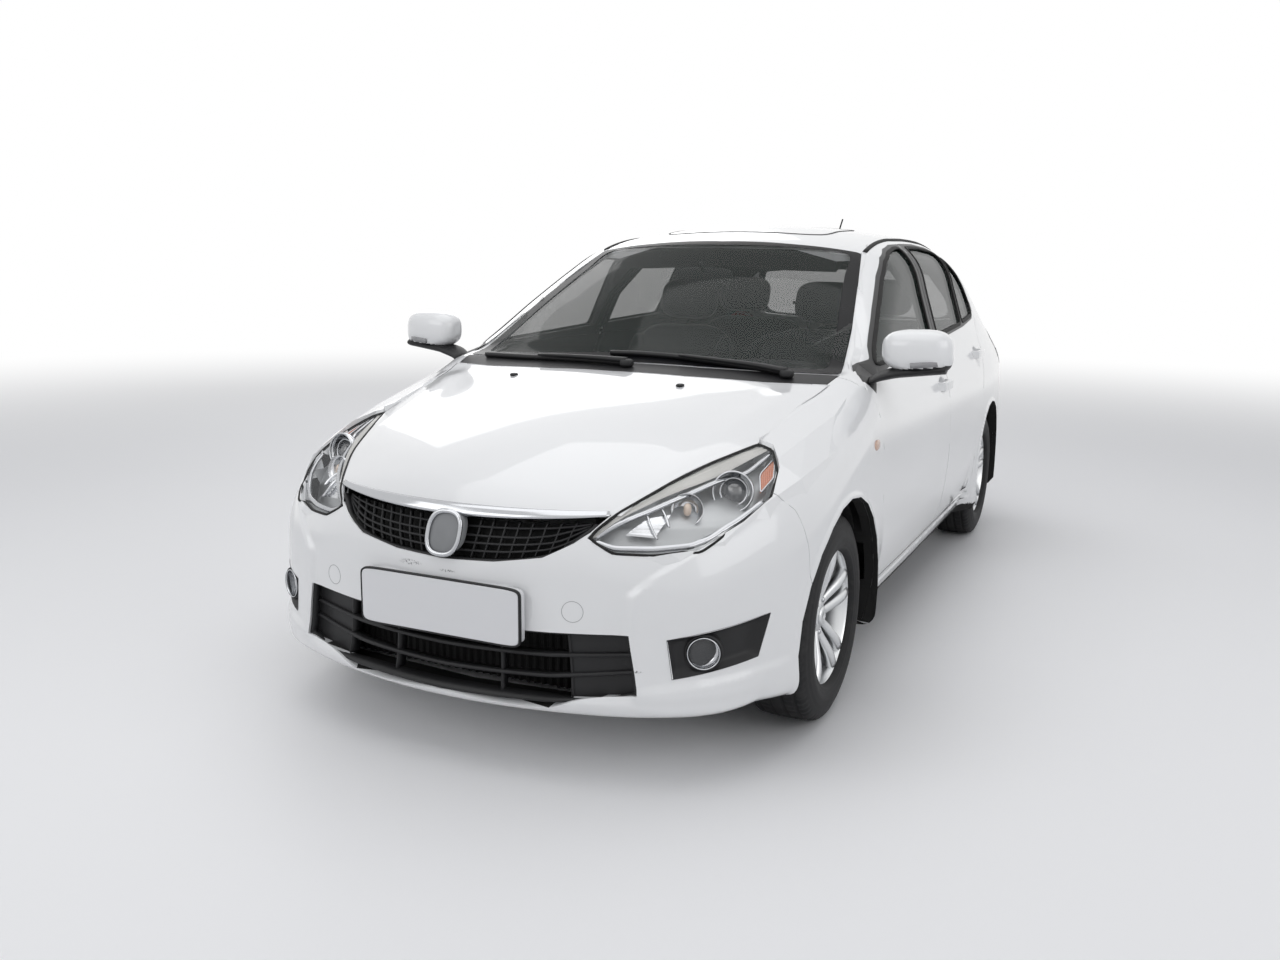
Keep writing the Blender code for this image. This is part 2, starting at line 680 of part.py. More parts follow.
front_door_line = side_points(front_door_shares)
rear_door_line = side_points(rear_door_shares)
fender_line = side_points(fender_shares)
front_bumper_line = side_points(front_bumper_shares)
rear_bumper_line = side_points(rear_bumper_shares)
bonnet_line = both_sides(plan_points(bonnet_shares))
windscreen_line = both_sides(plan_points(windscreen_shares))
cowl_line = plan_points(cowl_shares)
cowl_line = cowl_line + [(-a, b) for a, b in cowl_line[::-1] if a > 0]
grille_line = both_sides(face_points(grille_shares))
intake_line = both_sides(face_points(intake_shares))
tailgate_line = both_sides(face_points(tailgate_shares))
tailgate_glass_line = both_sides(face_points(tailgate_glass_shares))
lamp_points = space_points(lamp_shares)
tail_lamp_points = space_points(tail_lamp_shares)
fog_points = space_points(fog_shares)
bay_low = height * 0.3367
roof_high = height + overrun
lamp_way = Vector((0.50, -0.72, 0.48))
tail_lamp_way = Vector((0.80, 0.60, 0.05))
fog_way = Vector((0.45, -0.89, 0.0))
lamp_depth = 0.060
tail_lamp_depth = 0.045
door_cut_gap = door_gap / 2


# The part of the wall between two depths that a cutter takes
def layer(outer_depth, inner_depth, cutter):
    return minus(common(hulls(outer_depth), cutter), hulls(inner_depth))


def mirror_pair(mesh):
    return joined(mesh, mirrored(mesh))


def lamp_cut(points, way, distance, low, high):
    spots = [Vector(p) for p in points]
    middle = sum(spots, Vector()) / len(spots)
    turn = Vector(way).normalized().to_track_quat('Z', 'Y').to_matrix().to_4x4()
    frame = Matrix.Translation(middle) @ turn
    back = frame.inverted()
    flat = grown([tuple((back @ p)[:2]) for p in spots], distance)
    return outward(moved(plate(flat, low, high), frame))


lamp_solid = lamp_cut(lamp_points, lamp_way, -panel_gap / 2, -lamp_depth * 3, lamp_depth * 3)
lamp_hole = mirror_pair(lamp_cut(lamp_points, lamp_way, panel_gap / 2, -lamp_depth * 5, lamp_depth * 3))
lamp_seat = mirror_pair(lamp_cut(lamp_points, lamp_way, seat_gap - panel_gap / 2, -lamp_depth * 5, lamp_depth * 3))
tail_lamp_solid = lamp_cut(tail_lamp_points, tail_lamp_way, -panel_gap / 2,
                           -tail_lamp_depth * 3, lamp_depth * 3)
tail_lamp_hole = mirror_pair(lamp_cut(tail_lamp_points, tail_lamp_way, panel_gap / 2,
                                      -tail_lamp_depth * 5, lamp_depth * 3))
tail_lamp_seat = mirror_pair(lamp_cut(tail_lamp_points, tail_lamp_way, seat_gap - panel_gap / 2,
                                      -tail_lamp_depth * 5, lamp_depth * 3))
arch_inner_x = track_x - tyre_width - overrun


def arch_solid(radius, low, high, sides=24):
    out = []
    for y in (front_axle_y, rear_axle_y):
        out.append(bar((low, y, tyre_radius), (high, y, tyre_radius), radius, sides))
    return out


arches = [mirror_pair(m) for m in arch_solid(arch_radius, arch_inner_x, outer_x)]
arch_wells = [mirror_pair(m) for m in arch_solid(arch_radius + fender_wall, arch_inner_x - fender_wall,
                                                  half_width - flange_width * 3)]
front_cut = face_plate([(-outer_x, 0), (outer_x, 0), (outer_x, roof_high), (-outer_x, roof_high)],
                       front_y - overrun, along(0.2678))

# The body: a shell with its floor, firewall and wheelhouses
body = shell(0, body_wall)
firewall_front = along(0.2631)
cabin_block = box((-outer_x, firewall_front, 0), (outer_x, firewall_front + body_wall / 2, height * 0.6263))
body = union(body, common(hulls(body_wall / 2), cabin_block))
for well in arch_wells:
    body = union(body, common(well, hulls(body_wall / 2)))
tray_width = 0.610
tray_wall = 0.012
tray_low = Vector((-tray_width, along(0.7047), ground_clearance + body_wall / 2))
tray_high = Vector((tray_width, along(0.853), height * 0.2896))
wall = Vector((tray_wall, tray_wall, tray_wall))
down = Vector((0, 0, overrun))
floor_hole = box(tray_low + wall / 2 - down, tray_high - wall / 2)
tray = minus(box(tray_low, tray_high), box(tray_low + wall - down, tray_high - wall))
body = union(minus(body, floor_hole), tray)
body = minus(body, *arches)
bay_half_width = arch_inner_x - fender_wall - bonnet_edge_depth
bay_hole = box((-bay_half_width, along(0.0423), 0), (bay_half_width, firewall_front - body_wall, height * 0.202))
body = minus(body, bay_hole)

screen_trim = plan_cut(both_sides(plan_points(screen_trim_shares)), door_gap, bay_low, roof_high)
door_solid = {}
for name, line in (('front', front_door_line), ('rear', rear_door_line)):
    outer = side_cut(line, -door_cut_gap)
    if name == 'front':
        outer = minus(outer, screen_trim)
    inner = side_cut(line, -door_cut_gap - flange_width)
    door = layer(0, door_wall, outer)
    door = minus(door, minus(hulls(flange_wall), inner))
    high = box((0, front_y, height * belt_height_share), (outer_x, rear_y, roof_high))
    door = minus(door, common(hulls(frame_wall), high))
    door_solid[name] = minus(door, *arches)
    step_cut = minus(mirror_pair(side_cut(line, door_cut_gap)), hulls(flange_wall + door_gap))
    body = minus(body, step_cut)
    body = minus(body, mirror_pair(side_plate(grown(line, -flange_width + door_gap * 2), inner_x, outer_x)))

windows = {'front': side_points(front_window_shares), 'rear': side_points(rear_window_shares),
           'quarter': side_points(quarter_window_shares)}
glass_depth = flange_wall / 2
glass = {}
for name, line in windows.items():
    door = 'front' if name == 'front' else 'rear'
    door_solid[door] = minus(door_solid[door], side_cut(line))
    glass[name] = layer(glass_depth, glass_depth + glass_wall, side_cut(line, -seat_gap))

def nose_plate_y(x, z):
    origin = np.array([[x, along(nose_start_share), z]])
    return float(cast(origin, np.array([[0, -1.0, 0]]), 0)[0][1])


# Front end: fenders, bumper, bonnet, lamps and grilles
bonnet_cutter = plan_cut(bonnet_line, -door_cut_gap, bay_low, roof_high)
bonnet = layer(0, bonnet_wall, bonnet_cutter)
bonnet_gap = plan_cut(bonnet_line, door_cut_gap, bay_low, roof_high)
fender_low_x = half_width * 0.7448
fender = layer(0, fender_wall, side_plate(grown(fender_line, -panel_gap / 2), fender_low_x, outer_x))
fender = minus(fender, bonnet_gap, lamp_hole, *arches)
cowl_gap = plan_cut(cowl_line, panel_gap / 2, bay_low, roof_high)
screen_gap = plan_cut(windscreen_line, panel_gap / 2, bay_low, roof_high)
fender = minus(fender, cowl_gap, screen_gap)
bumper_block = side_plate(front_bumper_line, -outer_x, outer_x)
grille_hole = face_plate(grown(grille_line, panel_gap / 2), front_y - overrun, along(0.0633))
intake_hole = face_plate(grown(intake_line, panel_gap / 2), front_y - overrun, along(0.0633))
fog_hole = mirror_pair(lamp_cut(fog_points, fog_way, panel_gap / 2, -lamp_depth * 4, lamp_depth * 3))
front_bumper = layer(0, bumper_wall, bumper_block)
front_bumper = minus(front_bumper, bonnet_gap, lamp_hole, grille_hole, intake_hole, fog_hole, *arches)
body = minus(body, minus(side_plate(grown(front_bumper_line, panel_gap), -outer_x, outer_x),
                         hulls(bumper_wall + seat_gap)))
fender_gap = side_plate(grown(fender_line, panel_gap / 2), fender_low_x - panel_gap, outer_x)
body = minus(body, minus(mirror_pair(fender_gap), hulls(fender_wall + seat_gap)))
body = minus(body, minus(bonnet_gap, hulls(bonnet_wall + door_gap)))
body = minus(body, plan_cut(bonnet_line, -body_wall, bay_low, roof_high))
body = minus(body, minus(cowl_gap, hulls(bonnet_wall + seat_gap)))
lamp_clear = mirror_pair(lamp_cut(lamp_points, lamp_way, door_gap, -lamp_depth * 5, lamp_depth * 3))
body = minus(body, minus(lamp_clear, hulls(bonnet_wall + door_gap)), lamp_seat, grille_hole, intake_hole, fog_hole)

# Lifting pads under the sills, and the strikers and stops that the shut panels rest on
pad_size = (0.070, 0.140, 0.010)
pad_x = half_width * 0.7425
for y_share in (0.3484, 0.6614):
    for side in (1, -1):
        middle = Vector((side * pad_x, along(y_share), ground_clearance))
        reach = Vector(pad_size) / 2
        body = union(body, box(middle - Vector((reach.x, reach.y, pad_size[2])), middle + reach))


# Behind the bumpers and the wings the body is open
crash_hole = box((-outer_x, front_y - overrun, 0), (outer_x, along(0.096), height * 0.404))
tail_hole = box((-half_width * 0.6381, along(0.9488), height * 0.1886), (half_width * 0.6381, rear_y + overrun, height * 0.3636))
wing_hole_shares = [(0.1428, 0.4983), (0.2012, 0.5118), (0.2526, 0.5118), (0.2526, 0.5724), (0.1544, 0.5387)]
wing_hole = mirror_pair(side_plate(side_points(wing_hole_shares), half_width * 0.8121, outer_x))
body = minus(body, crash_hole, tail_hole, wing_hole)

windscreen_low = height * 0.5724
windscreen = layer(0, glass_wall, plan_cut(windscreen_line, -panel_gap / 2, windscreen_low, roof_high))
body = minus(body, minus(plan_cut(windscreen_line, panel_gap / 2, windscreen_low, roof_high),
                         hulls(glass_wall + seat_gap)))
body = minus(body, plan_cut(windscreen_line, -flange_width, windscreen_low, roof_high))
cowl = layer(0, bonnet_wall, plan_cut(cowl_line, -panel_gap / 2, windscreen_low, roof_high))

headlamp = layer(0, lamp_depth, lamp_solid)
headlamp = minus(headlamp, bonnet_gap)
fog_radius = 0.043
fog_stand = 0.004
grille_wall = 0.024
grille_sink = 0.008
upper_grille = layer(grille_sink, grille_sink + grille_wall,
                     face_plate(grown(grille_line, panel_gap / 2 - seat_gap), front_y - overrun, along(0.0493)))
upper_grille = minus(upper_grille, bonnet_gap, lamp_hole)


# Slots between slanted ribs and level bars: their middles, half sizes and lean
def slots(xs, zs, half_wide, half_tall, lean):
    cuts = []
    for x in xs:
        for z in zs:
            shift = math.copysign(lean, x)
            line = [(x - half_wide - shift, z - half_tall), (x + half_wide - shift, z - half_tall),
                    (x + half_wide + shift, z + half_tall), (x - half_wide + shift, z + half_tall)]
            cuts.append(face_plate(line, front_y - overrun, along(0.054)))
    return joined(*cuts)


lower_grille = layer(grille_sink, grille_sink + grille_wall,
                     face_plate(grown(intake_line, panel_gap / 2 - seat_gap), front_y - overrun, along(0.0493)))
fog_panel = layer(grille_sink, grille_sink + grille_wall,
                  lamp_cut(fog_points, fog_way, panel_gap / 2 - seat_gap, -lamp_depth * 2, lamp_depth * 3))

fog_turn = Vector(fog_way).normalized()
fog_middle = sum((Vector(p) for p in fog_points), Vector()) / len(fog_points)
fog_front = cast(np.array([fog_middle - fog_turn * lamp_depth * 2]), np.array([fog_turn]), grille_sink)[0]
fog_round = bar(Vector(fog_front) - fog_turn * grille_wall, Vector(fog_front) + fog_turn * fog_stand, fog_radius, 16)
fog_panel = union(fog_panel, fog_round)
rib_step = 0.052
bar_step = 0.036
rib_half = 0.0215
bar_half = 0.0145
rib_lean = 0.005
upper_xs = [side * rib_step * (i + 1.9) for side in (1, -1) for i in range(3)]
upper_zs = [height * 0.4253 + bar_step * i for i in range(2)]
badge_radius = 0.056
badge = bar((0, nose_plate_y(0, height * 0.4377) + grille_sink + grille_wall / 2, height * 0.4377),
            (0, nose_plate_y(0, height * 0.4377) - panel_gap, height * 0.4377), badge_radius, 16)
upper_grille = minus(upper_grille, slots(upper_xs, upper_zs, rib_half, bar_half, rib_lean))
upper_grille = union(upper_grille, minus(badge, bonnet_gap))
lower_half = 0.021
lower_zs = [height * 0.1832 + (bar_step + panel_gap * 4) * i for i in range(3)]
lower_xs = [0.330 * i for i in (-1, 0, 1)]
lower_grille = minus(lower_grille, slots(lower_xs, lower_zs, 0.150, lower_half, 0))

# Rear end
tail_block = face_plate(grown(tailgate_line, -door_cut_gap), along(hinge_y_share), rear_y + overrun)
rear_block = side_plate(rear_bumper_line, -outer_x, outer_x)
tailgate = layer(0, lid_wall, tail_block)
tailgate = minus(tailgate, minus(hulls(flange_wall), face_plate(grown(tailgate_line, -flange_width),
                                                               along(hinge_y_share), rear_y + overrun)))
glass_start = along(hinge_y_share) + flange_wall
glass_hole = face_plate(tailgate_glass_line, along(hinge_y_share) - overrun, rear_y + overrun)
tailgate = minus(tailgate, glass_hole)
tailgate_glass = layer(glass_depth, glass_depth + glass_wall,
                       face_plate(grown(tailgate_glass_line, -seat_gap), glass_start, rear_y + overrun))
tail_step = face_plate(grown(tailgate_line, door_cut_gap), along(hinge_y_share) - door_gap, rear_y + overrun)
tail_through = face_plate(grown(tailgate_line, -flange_width + door_gap * 2),
                          along(hinge_y_share) - door_gap, rear_y + overrun)
rear_bumper = layer(0, bumper_wall, rear_block)
rear_bumper = minus(rear_bumper, tail_step, tail_lamp_hole, *arches)
body = minus(body, minus(side_plate(grown(rear_bumper_line, panel_gap), -outer_x, outer_x),
                         hulls(bumper_wall + seat_gap)))
body = minus(body, minus(tail_step, hulls(flange_wall + door_gap)), tail_through, tail_lamp_seat)


# A stop on the body, under a panel as thick as depth says
def stop(depth, low, high):
    return layer(depth + seat_gap, depth + door_gap * 2, box(low, high))


stop_size = 0.060
stops = []
for line, z_share in ((front_door_line, 0.4983), (rear_door_line, 0.7542)):
    level = height * z_share
    edge = max(y for y, z in line if z < level + stop_size * 2 and z > level - stop_size * 2) - flange_width
    low = Vector((half_width * 0.6961, edge + door_gap / 2, level - stop_size / 2))
    stops.append(mirror_pair(stop(flange_wall, low, low + Vector((half_width, flange_width - door_gap * 2, stop_size)))))
bonnet_stop = Vector((half_width * 0.7169, along(0.1591), bay_low))
stops.append(mirror_pair(stop(bonnet_wall, bonnet_stop, bonnet_stop + Vector((door_gap * 4, stop_size, height / 2)))))
tail_stop = Vector((-stop_size, along(0.9488), height * 0.3939 + door_cut_gap + door_gap / 3))
stops.append(stop(flange_wall, tail_stop, tail_stop + Vector((stop_size * 2, length, flange_width / 2 - door_gap / 2))))
body = union(body, *stops)
tail_lamp = minus(layer(0, tail_lamp_depth, tail_lamp_solid), tail_step)


# Door mirrors and handles, made with the doors that carry them
mirror_middle_shares = (1.0789, 0.3098, 0.7192)
mirror_size = (0.205, 0.130, 0.138)
mirror_arm = (0.110, 0.060, 0.034)
sail_shares = [(0.2818, 0.6431), (0.3192, 0.6465), (0.3192, 0.6902), (0.3063, 0.6734),
               (0.2923, 0.6566)]
handle_places_shares = {'front': (0.5143, 0.5825), 'rear': (0.7245, 0.6229)}
handle_length = 0.190
handle_thickness = 0.016
handle_stand = 0.030


def skin_x(y, z):
    origin = np.array([[0, y, z]])
    return float(cast(origin, np.array([[1.0, 0, 0]]), 0)[0][0])


mirror_middle = Vector((half_width * mirror_middle_shares[0], along(mirror_middle_shares[1]),
                        height * mirror_middle_shares[2]))
half_mirror = Vector(mirror_size) / 2
cap = bmesh.new()
bmesh.ops.create_uvsphere(cap, u_segments=12, v_segments=8, radius=1)
for v in cap.verts:
    s = 1 / max(sum(abs(c)**4 for c in v.co)**0.25, weld)
    v.co = Vector([c * s * k for c, k in zip(v.co, half_mirror)]) + mirror_middle
mirror_mesh = bpy.data.meshes.new('mirror')
cap.to_mesh(mirror_mesh)
cap.free()
outward(mirror_mesh)
sail_line = side_points(sail_shares)
sail = minus(common(side_plate(sail_line, half_width * 0.8121, outer_x), hulls(-mirror_arm[2] / 4)),
             hulls(-seat_gap))
arm_low = mirror_middle + Vector((-mirror_arm[0] * 1.5, -mirror_arm[1] / 2, -half_mirror[2] * 1.35))
arm_high = mirror_middle + Vector((0, mirror_arm[1] / 2, -half_mirror[2] * 1.35 + mirror_arm[2]))
arm_block = minus(box(arm_low, arm_high, mirror_arm[2] / 5), hulls(-seat_gap))
mirror_mesh = union(union(mirror_mesh, arm_block), sail)

for name, (y_share, z_share) in handle_places_shares.items():
    y = along(y_share)
    z = height * z_share
    x = skin_x(y, z)
    middle = Vector((x + handle_stand, y, z))
    half_long = handle_length / 2
    path = [(-half_long, -handle_stand * 1.5), (-half_long * 0.8, -handle_thickness * 0.2),
            (-half_long * 0.5, 0), (half_long * 0.5, 0), (half_long * 0.8, -handle_thickness * 0.2),
            (half_long, -handle_stand * 1.5)]
    outer_edge = [(middle.x + b, y + a) for a, b in path]
    inner_edge = [(b2 - handle_thickness, y2) for b2, y2 in outer_edge]
    inner_edge[0] = (outer_edge[0][0], outer_edge[0][1] + handle_thickness)
    inner_edge[-1] = (outer_edge[-1][0], outer_edge[-1][1] - handle_thickness)
    inner_edge[1] = (inner_edge[1][0], inner_edge[1][1] + handle_thickness * 0.8)
    inner_edge[-2] = (inner_edge[-2][0], inner_edge[-2][1] - handle_thickness * 0.8)
    bow = plate(outer_edge + inner_edge[::-1], z - handle_thickness, z + handle_thickness)
    door_solid[name] = union(door_solid[name], bow)

# Wheels: tyre, rim with its disc, and what carries them
rim_width = 0.175
tyre_wall = 0.030
bead_step = 0.012
stub_radius = 0.024
tyre_steps = 24
rim_steps = 24
half_tyre = tyre_width / 2
crown_drop = tyre_radius * 0.02
tyre_profile = [(-half_tyre * 0.80, rim_radius + seat_gap), (-half_tyre, (rim_radius + tyre_radius) / 2),
                (-half_tyre * 0.93, tyre_radius - crown_drop * 3),
                (-half_tyre * 0.72, tyre_radius - crown_drop / 2), (0, tyre_radius)]
tyre_profile += [(-x, r) for x, r in tyre_profile[-2::-1]]
rim_low = rim_radius - bead_step * 2
rim_profile = [(-half_tyre * 0.80, rim_radius), (half_tyre * 0.80, rim_radius), (half_tyre * 0.84, rim_radius - bead_step / 2),
               (half_tyre * 0.70, rim_low), (-half_tyre * 0.80, rim_low)]
face_x = half_tyre * 0.62
disc_x = -half_tyre * 0.35
bore_end = half_tyre * 0.2
hub_profile = [(disc_x, stub_radius + seat_gap), (disc_x, disc_radius), (disc_x + disc_thickness, disc_radius),
               (disc_x + disc_thickness, hub_radius), (face_x, hub_radius),
               (face_x, 0), (bore_end, 0), (bore_end, stub_radius + seat_gap)]
spoke_pairs = 5
spoke_spread = 15.0


def tyre_mesh():
    return turned(tyre_profile, tyre_steps)


def rim_mesh():
    base = joined(turned(rim_profile, rim_steps))
    base = union(base, turned(hub_profile, rim_steps))
    spokes = []
    reach = rim_low + bead_step
    for pair in range(spoke_pairs):
        for side in (-1, 1):
            angle = math.radians(360 * pair / spoke_pairs + side * spoke_spread)
            root = hub_radius * 0.22
            tip = hub_radius * 0.26
            line = [(-root, hub_radius * 0.85), (root, hub_radius * 0.85), (tip, reach), (-tip, reach)]
            blade = side_plate(line, face_x - spoke_thickness, face_x - spoke_thickness / 8)
            spokes.append(moved(blade, Matrix.Rotation(angle, 4, 'X')))
    return union(base, joined(*spokes))


tyre_base = tyre_mesh()
rim_base = rim_mesh()


def mirrored_place(mesh, x, y, z):
    out = mirrored(mesh) if x < 0 else mesh.copy()
    return moved(out, Matrix.Translation((x, y, z)))


knuckle_inner = disc_x - door_gap
kingpin_radius = 0.016
knuckle_height = 0.120
arm_length = 0.130


def knuckle_mesh():
    steer_at = steer_x - track_x
    upright = box((steer_at - kingpin_radius * 1.2, -stub_radius * 1.4, -knuckle_height),
                  (steer_at + kingpin_radius * 1.2, stub_radius * 1.4, knuckle_height))
    stub = bar((steer_at, 0, 0), (bore_end - seat_gap, 0, 0), stub_radius, rim_steps)
    flange = bar((steer_at, 0, 0), (knuckle_inner, 0, 0), hub_radius, 16)
    lever = box((steer_at - kingpin_radius, stub_radius, -knuckle_height * 0.3),
                (steer_at + kingpin_radius * 0.6, arm_length, -knuckle_height * 0.3 + kingpin_radius))
    return union(upright, stub, flange, lever)


knuckle_base = knuckle_mesh()

# Under the car
subframe_size = (2 * (bay_half_width - seat_gap), 0.240, 0.070)
subframe_middle = Vector((0, front_axle_y + wheel_face_inset, tyre_radius - knuckle_height))
strut_radius = 0.024
strut_x = steer_x - 0.100
strut_top = tyre_radius + arch_radius * math.cos(math.pi / 24) - seat_gap
low_ball = Vector((steer_x, front_axle_y, tyre_radius - knuckle_height))
pad_gap = seat_gap
front_low = -subframe_size[2] / 2
sub_low = subframe_middle - Vector(subframe_size) / 2
sub_high = subframe_middle + Vector(subframe_size) / 2
subframe = box(sub_low, sub_high, subframe_size[2] / 6)
lower_arm_top = low_ball.z - pad_gap
arms = []
for side in (1, -1):
    arm_line = [(side * (sub_high.x - overrun), sub_low.y + overrun / 2), (side * (sub_high.x - overrun), sub_high.y - overrun / 2),
                (side * (steer_x + kingpin_radius), low_ball.y + stub_radius),
                (side * (steer_x + kingpin_radius), low_ball.y - stub_radius)]
    arms.append(plate(arm_line, lower_arm_top - strut_radius, lower_arm_top))
    arms.append(bar((side * strut_x, low_ball.y, lower_arm_top - strut_radius / 2),
                    (side * (strut_x - strut_radius), low_ball.y, strut_top), strut_radius, 12))
subframe = union(subframe, *arms)

beam_radius = 0.040
rear_beam_y = rear_axle_y - 0.190
trail_x = track_x - half_tyre - 0.060
beam = bar((-trail_x, rear_beam_y, tyre_radius), (trail_x, rear_beam_y, tyre_radius), beam_radius, 12)
rear_axle = beam
for side in (1, -1):
    trail = box((side * trail_x - beam_radius * 0.7, tray_low.y + tray_wall + seat_gap, tyre_radius - beam_radius * 1.15),
                (side * trail_x + beam_radius * 0.7, rear_axle_y + beam_radius * 1.5, tyre_radius + beam_radius * 0.8))
    stub = bar((side * (trail_x + stub_radius), rear_axle_y, tyre_radius),
               (side * (track_x + bore_end - seat_gap), rear_axle_y, tyre_radius), stub_radius, rim_steps)
    drum = bar((side * trail_x, rear_axle_y, tyre_radius),
               (side * (track_x + knuckle_inner), rear_axle_y, tyre_radius), hub_radius, 16)
    rear_axle = union(rear_axle, trail, stub, drum)

engine_low = Vector((-0.300, along(0.082), sub_high.z + seat_gap))
engine_high = Vector((0.300, along(0.2222), height * 0.4983))
engine = box(engine_low, engine_high, overrun / 2)

pipe_radius = 0.024
pipe_z = ground_clearance - pipe_radius - door_gap
pipe_x = half_width * 0.30
exhaust = bar((0, along(0.2479), pipe_z), (pipe_x, along(0.353), pipe_z), pipe_radius, 10)
silencer_size = (0.300, 0.340, 0.070)
silencer_low = Vector((pipe_x - silencer_size[0] / 2, along(0.8671), ground_clearance - seat_gap - silencer_size[2]))
exhaust = union(exhaust, bar((pipe_x, along(0.3484), pipe_z), (pipe_x, along(0.8787), pipe_z), pipe_radius, 10))
exhaust = union(exhaust, box(silencer_low, silencer_low + Vector(silencer_size), silencer_size[2] / 4))
exhaust = union(exhaust, bar((pipe_x + hub_radius, along(0.9371), pipe_z), (pipe_x + hub_radius, along(0.9932), pipe_z), pipe_radius, 10))

# Cabin
cabin = hulls(door_wall + door_gap * 2)
floor_z = ground_clearance + body_wall
dash_shares = [(0.2654, 0.3367), (0.2654, 0.6061), (0.2829, 0.6296), (0.3297, 0.6397),
               (0.3717, 0.6263), (0.3857, 0.5791), (0.3834, 0.5118), (0.3671, 0.404),
               (0.339, 0.3367)]
dash_line = side_points(dash_shares)
firewall_back = firewall_front + body_wall / 2
dash_line = [(max(y, firewall_back + seat_gap), z) for y, z in dash_line]
dash_half_width = half_width * 0.8121
dashboard = common(side_plate(dash_line, -dash_half_width, dash_half_width), cabin)
console_size = (0.170, 0.940, 0.290)
console_low = Vector((-console_size[0] / 2, along(0.3063), floor_z + seat_gap))
dashboard = union(dashboard, box(console_low, console_low + Vector(console_size)))
wheel_tilt = math.radians(24)
wheel_rim_radius = 0.185
wheel_rim_thickness = 0.015
column_way = Vector((0, -math.cos(wheel_tilt), -math.sin(wheel_tilt)))
seat_width = 0.500
seat_x = half_width * 0.4176
seat_y = along(0.4979)
cushion_size = (seat_width, 0.520, 0.150)
cushion_lift = 0.230
cushion_z = floor_z + cushion_lift
knee_room = 0.290
wheel_reach = 0.380
wheel_middle = Vector((seat_x, seat_y - wheel_reach, cushion_z + cushion_size[2] + knee_room))
bpy.ops.mesh.primitive_torus_add(major_segments=24, minor_segments=6, major_radius=wheel_rim_radius,
                                 minor_radius=wheel_rim_thickness)
torus = bpy.context.object
wheel_ring = torus.data.copy()
bpy.data.objects.remove(torus)
turn = column_way.to_track_quat('Z', 'Y').to_matrix().to_4x4()
ring_frame = Matrix.Translation(wheel_middle) @ turn
wheel_ring = moved(wheel_ring, ring_frame)
steering = union(wheel_ring, bar(wheel_middle, wheel_middle + column_way * 0.060, wheel_rim_radius * 0.32, 14))
for a in (-1, 1):
    spoke_start = ring_frame @ Vector((a * wheel_rim_radius * 0.1, 0, 0))
    spoke_end = ring_frame @ Vector((a * wheel_rim_radius, 0, 0))
    steering = union(steering, bar(spoke_start, spoke_end, wheel_rim_thickness, 8))
column_end = wheel_middle + column_way * 0.160
steering = union(steering, bar(wheel_middle, column_end, wheel_rim_radius * 0.17, 10))
steering = minus(steering, side_plate(grown(dash_line, seat_gap), -half_width, half_width))

back_size = (seat_width, 0.130, 0.620)
back_lean = math.radians(-18)
head_size = (0.270, 0.100, 0.180)


def seat_mesh(wide, heads):
    cushion = box((-wide / 2, -cushion_size[1], 0), (wide / 2, 0, cushion_size[2]), cushion_size[2] / 4)
    back = box((-wide / 2, -back_size[1] / 2, 0), (wide / 2, back_size[1] / 2, back_size[2]), back_size[1] / 3)
    lean = Matrix.Rotation(back_lean, 4, 'X')
    out = union(cushion, moved(back, lean))
    for x in heads:
        low = (x - head_size[0] / 2, -head_size[1] / 2, back_size[2] + 0.030)
        high = (x + head_size[0] / 2, head_size[1] / 2, back_size[2] + 0.030 + head_size[2])
        out = union(out, moved(box(low, high, head_size[1] / 3), lean))
        for side in (-1, 1):
            post_x = x + side * head_size[0] / 4
            post = bar((post_x, 0, back_size[2] - 0.040), (post_x, 0, back_size[2] + 0.060), 0.006, 6)
            out = union(out, moved(post, lean))
    return out


front_seat = union(seat_mesh(seat_width, [0]), box((-seat_width * 0.30, -cushion_size[1] * 0.85, floor_z + seat_gap - cushion_z),
                                                  (seat_width * 0.30, -cushion_size[1] * 0.15, 0.030)))
rear_seat_width = 1.180
rear_seat_y = along(0.6942)
rear_seat = union(seat_mesh(rear_seat_width, [-0.360, 0.360]),
                  box((-rear_seat_width * 0.40, -cushion_size[1] * 0.8, floor_z + seat_gap - cushion_z),
                      (rear_seat_width * 0.40, -cushion_size[1] * 0.1, 0.030)))

# Small outside pieces
plate_size = (0.480, 0.006, 0.140)
plate_holder = 0.040
plate_z = height * 0.3051


plate_front_y = nose_plate_y(0, plate_z) - seat_gap
front_plate = minus(box((-plate_size[0] / 2, plate_front_y - plate_size[1], plate_z - plate_size[2] / 2),
                        (plate_size[0] / 2, plate_front_y + plate_holder, plate_z + plate_size[2] / 2)), hulls(-seat_gap))
wiper_radius = 0.007
badge_size = (0.125, 0.014, 0.110)

antenna_y_share = 0.825
antenna_radius = 0.004
antenna_length = 0.200
antenna_lean = math.radians(42)
antenna_foot = Vector((0, along(antenna_y_share), float(top_z(0.0, along(antenna_y_share))) - antenna_radius))
antenna_tip = antenna_foot + Vector((0, math.sin(antenna_lean), math.cos(antenna_lean))) * antenna_length
antenna_base = minus(box(antenna_foot - Vector((0.022, 0.040, 0.020)), antenna_foot + Vector((0.022, 0.040, 0.022)), 0.010),
                     hulls(-seat_gap))
antenna = union(antenna_base, bar(antenna_foot + Vector((0, 0, 0.010)), antenna_tip, antenna_radius, 8))

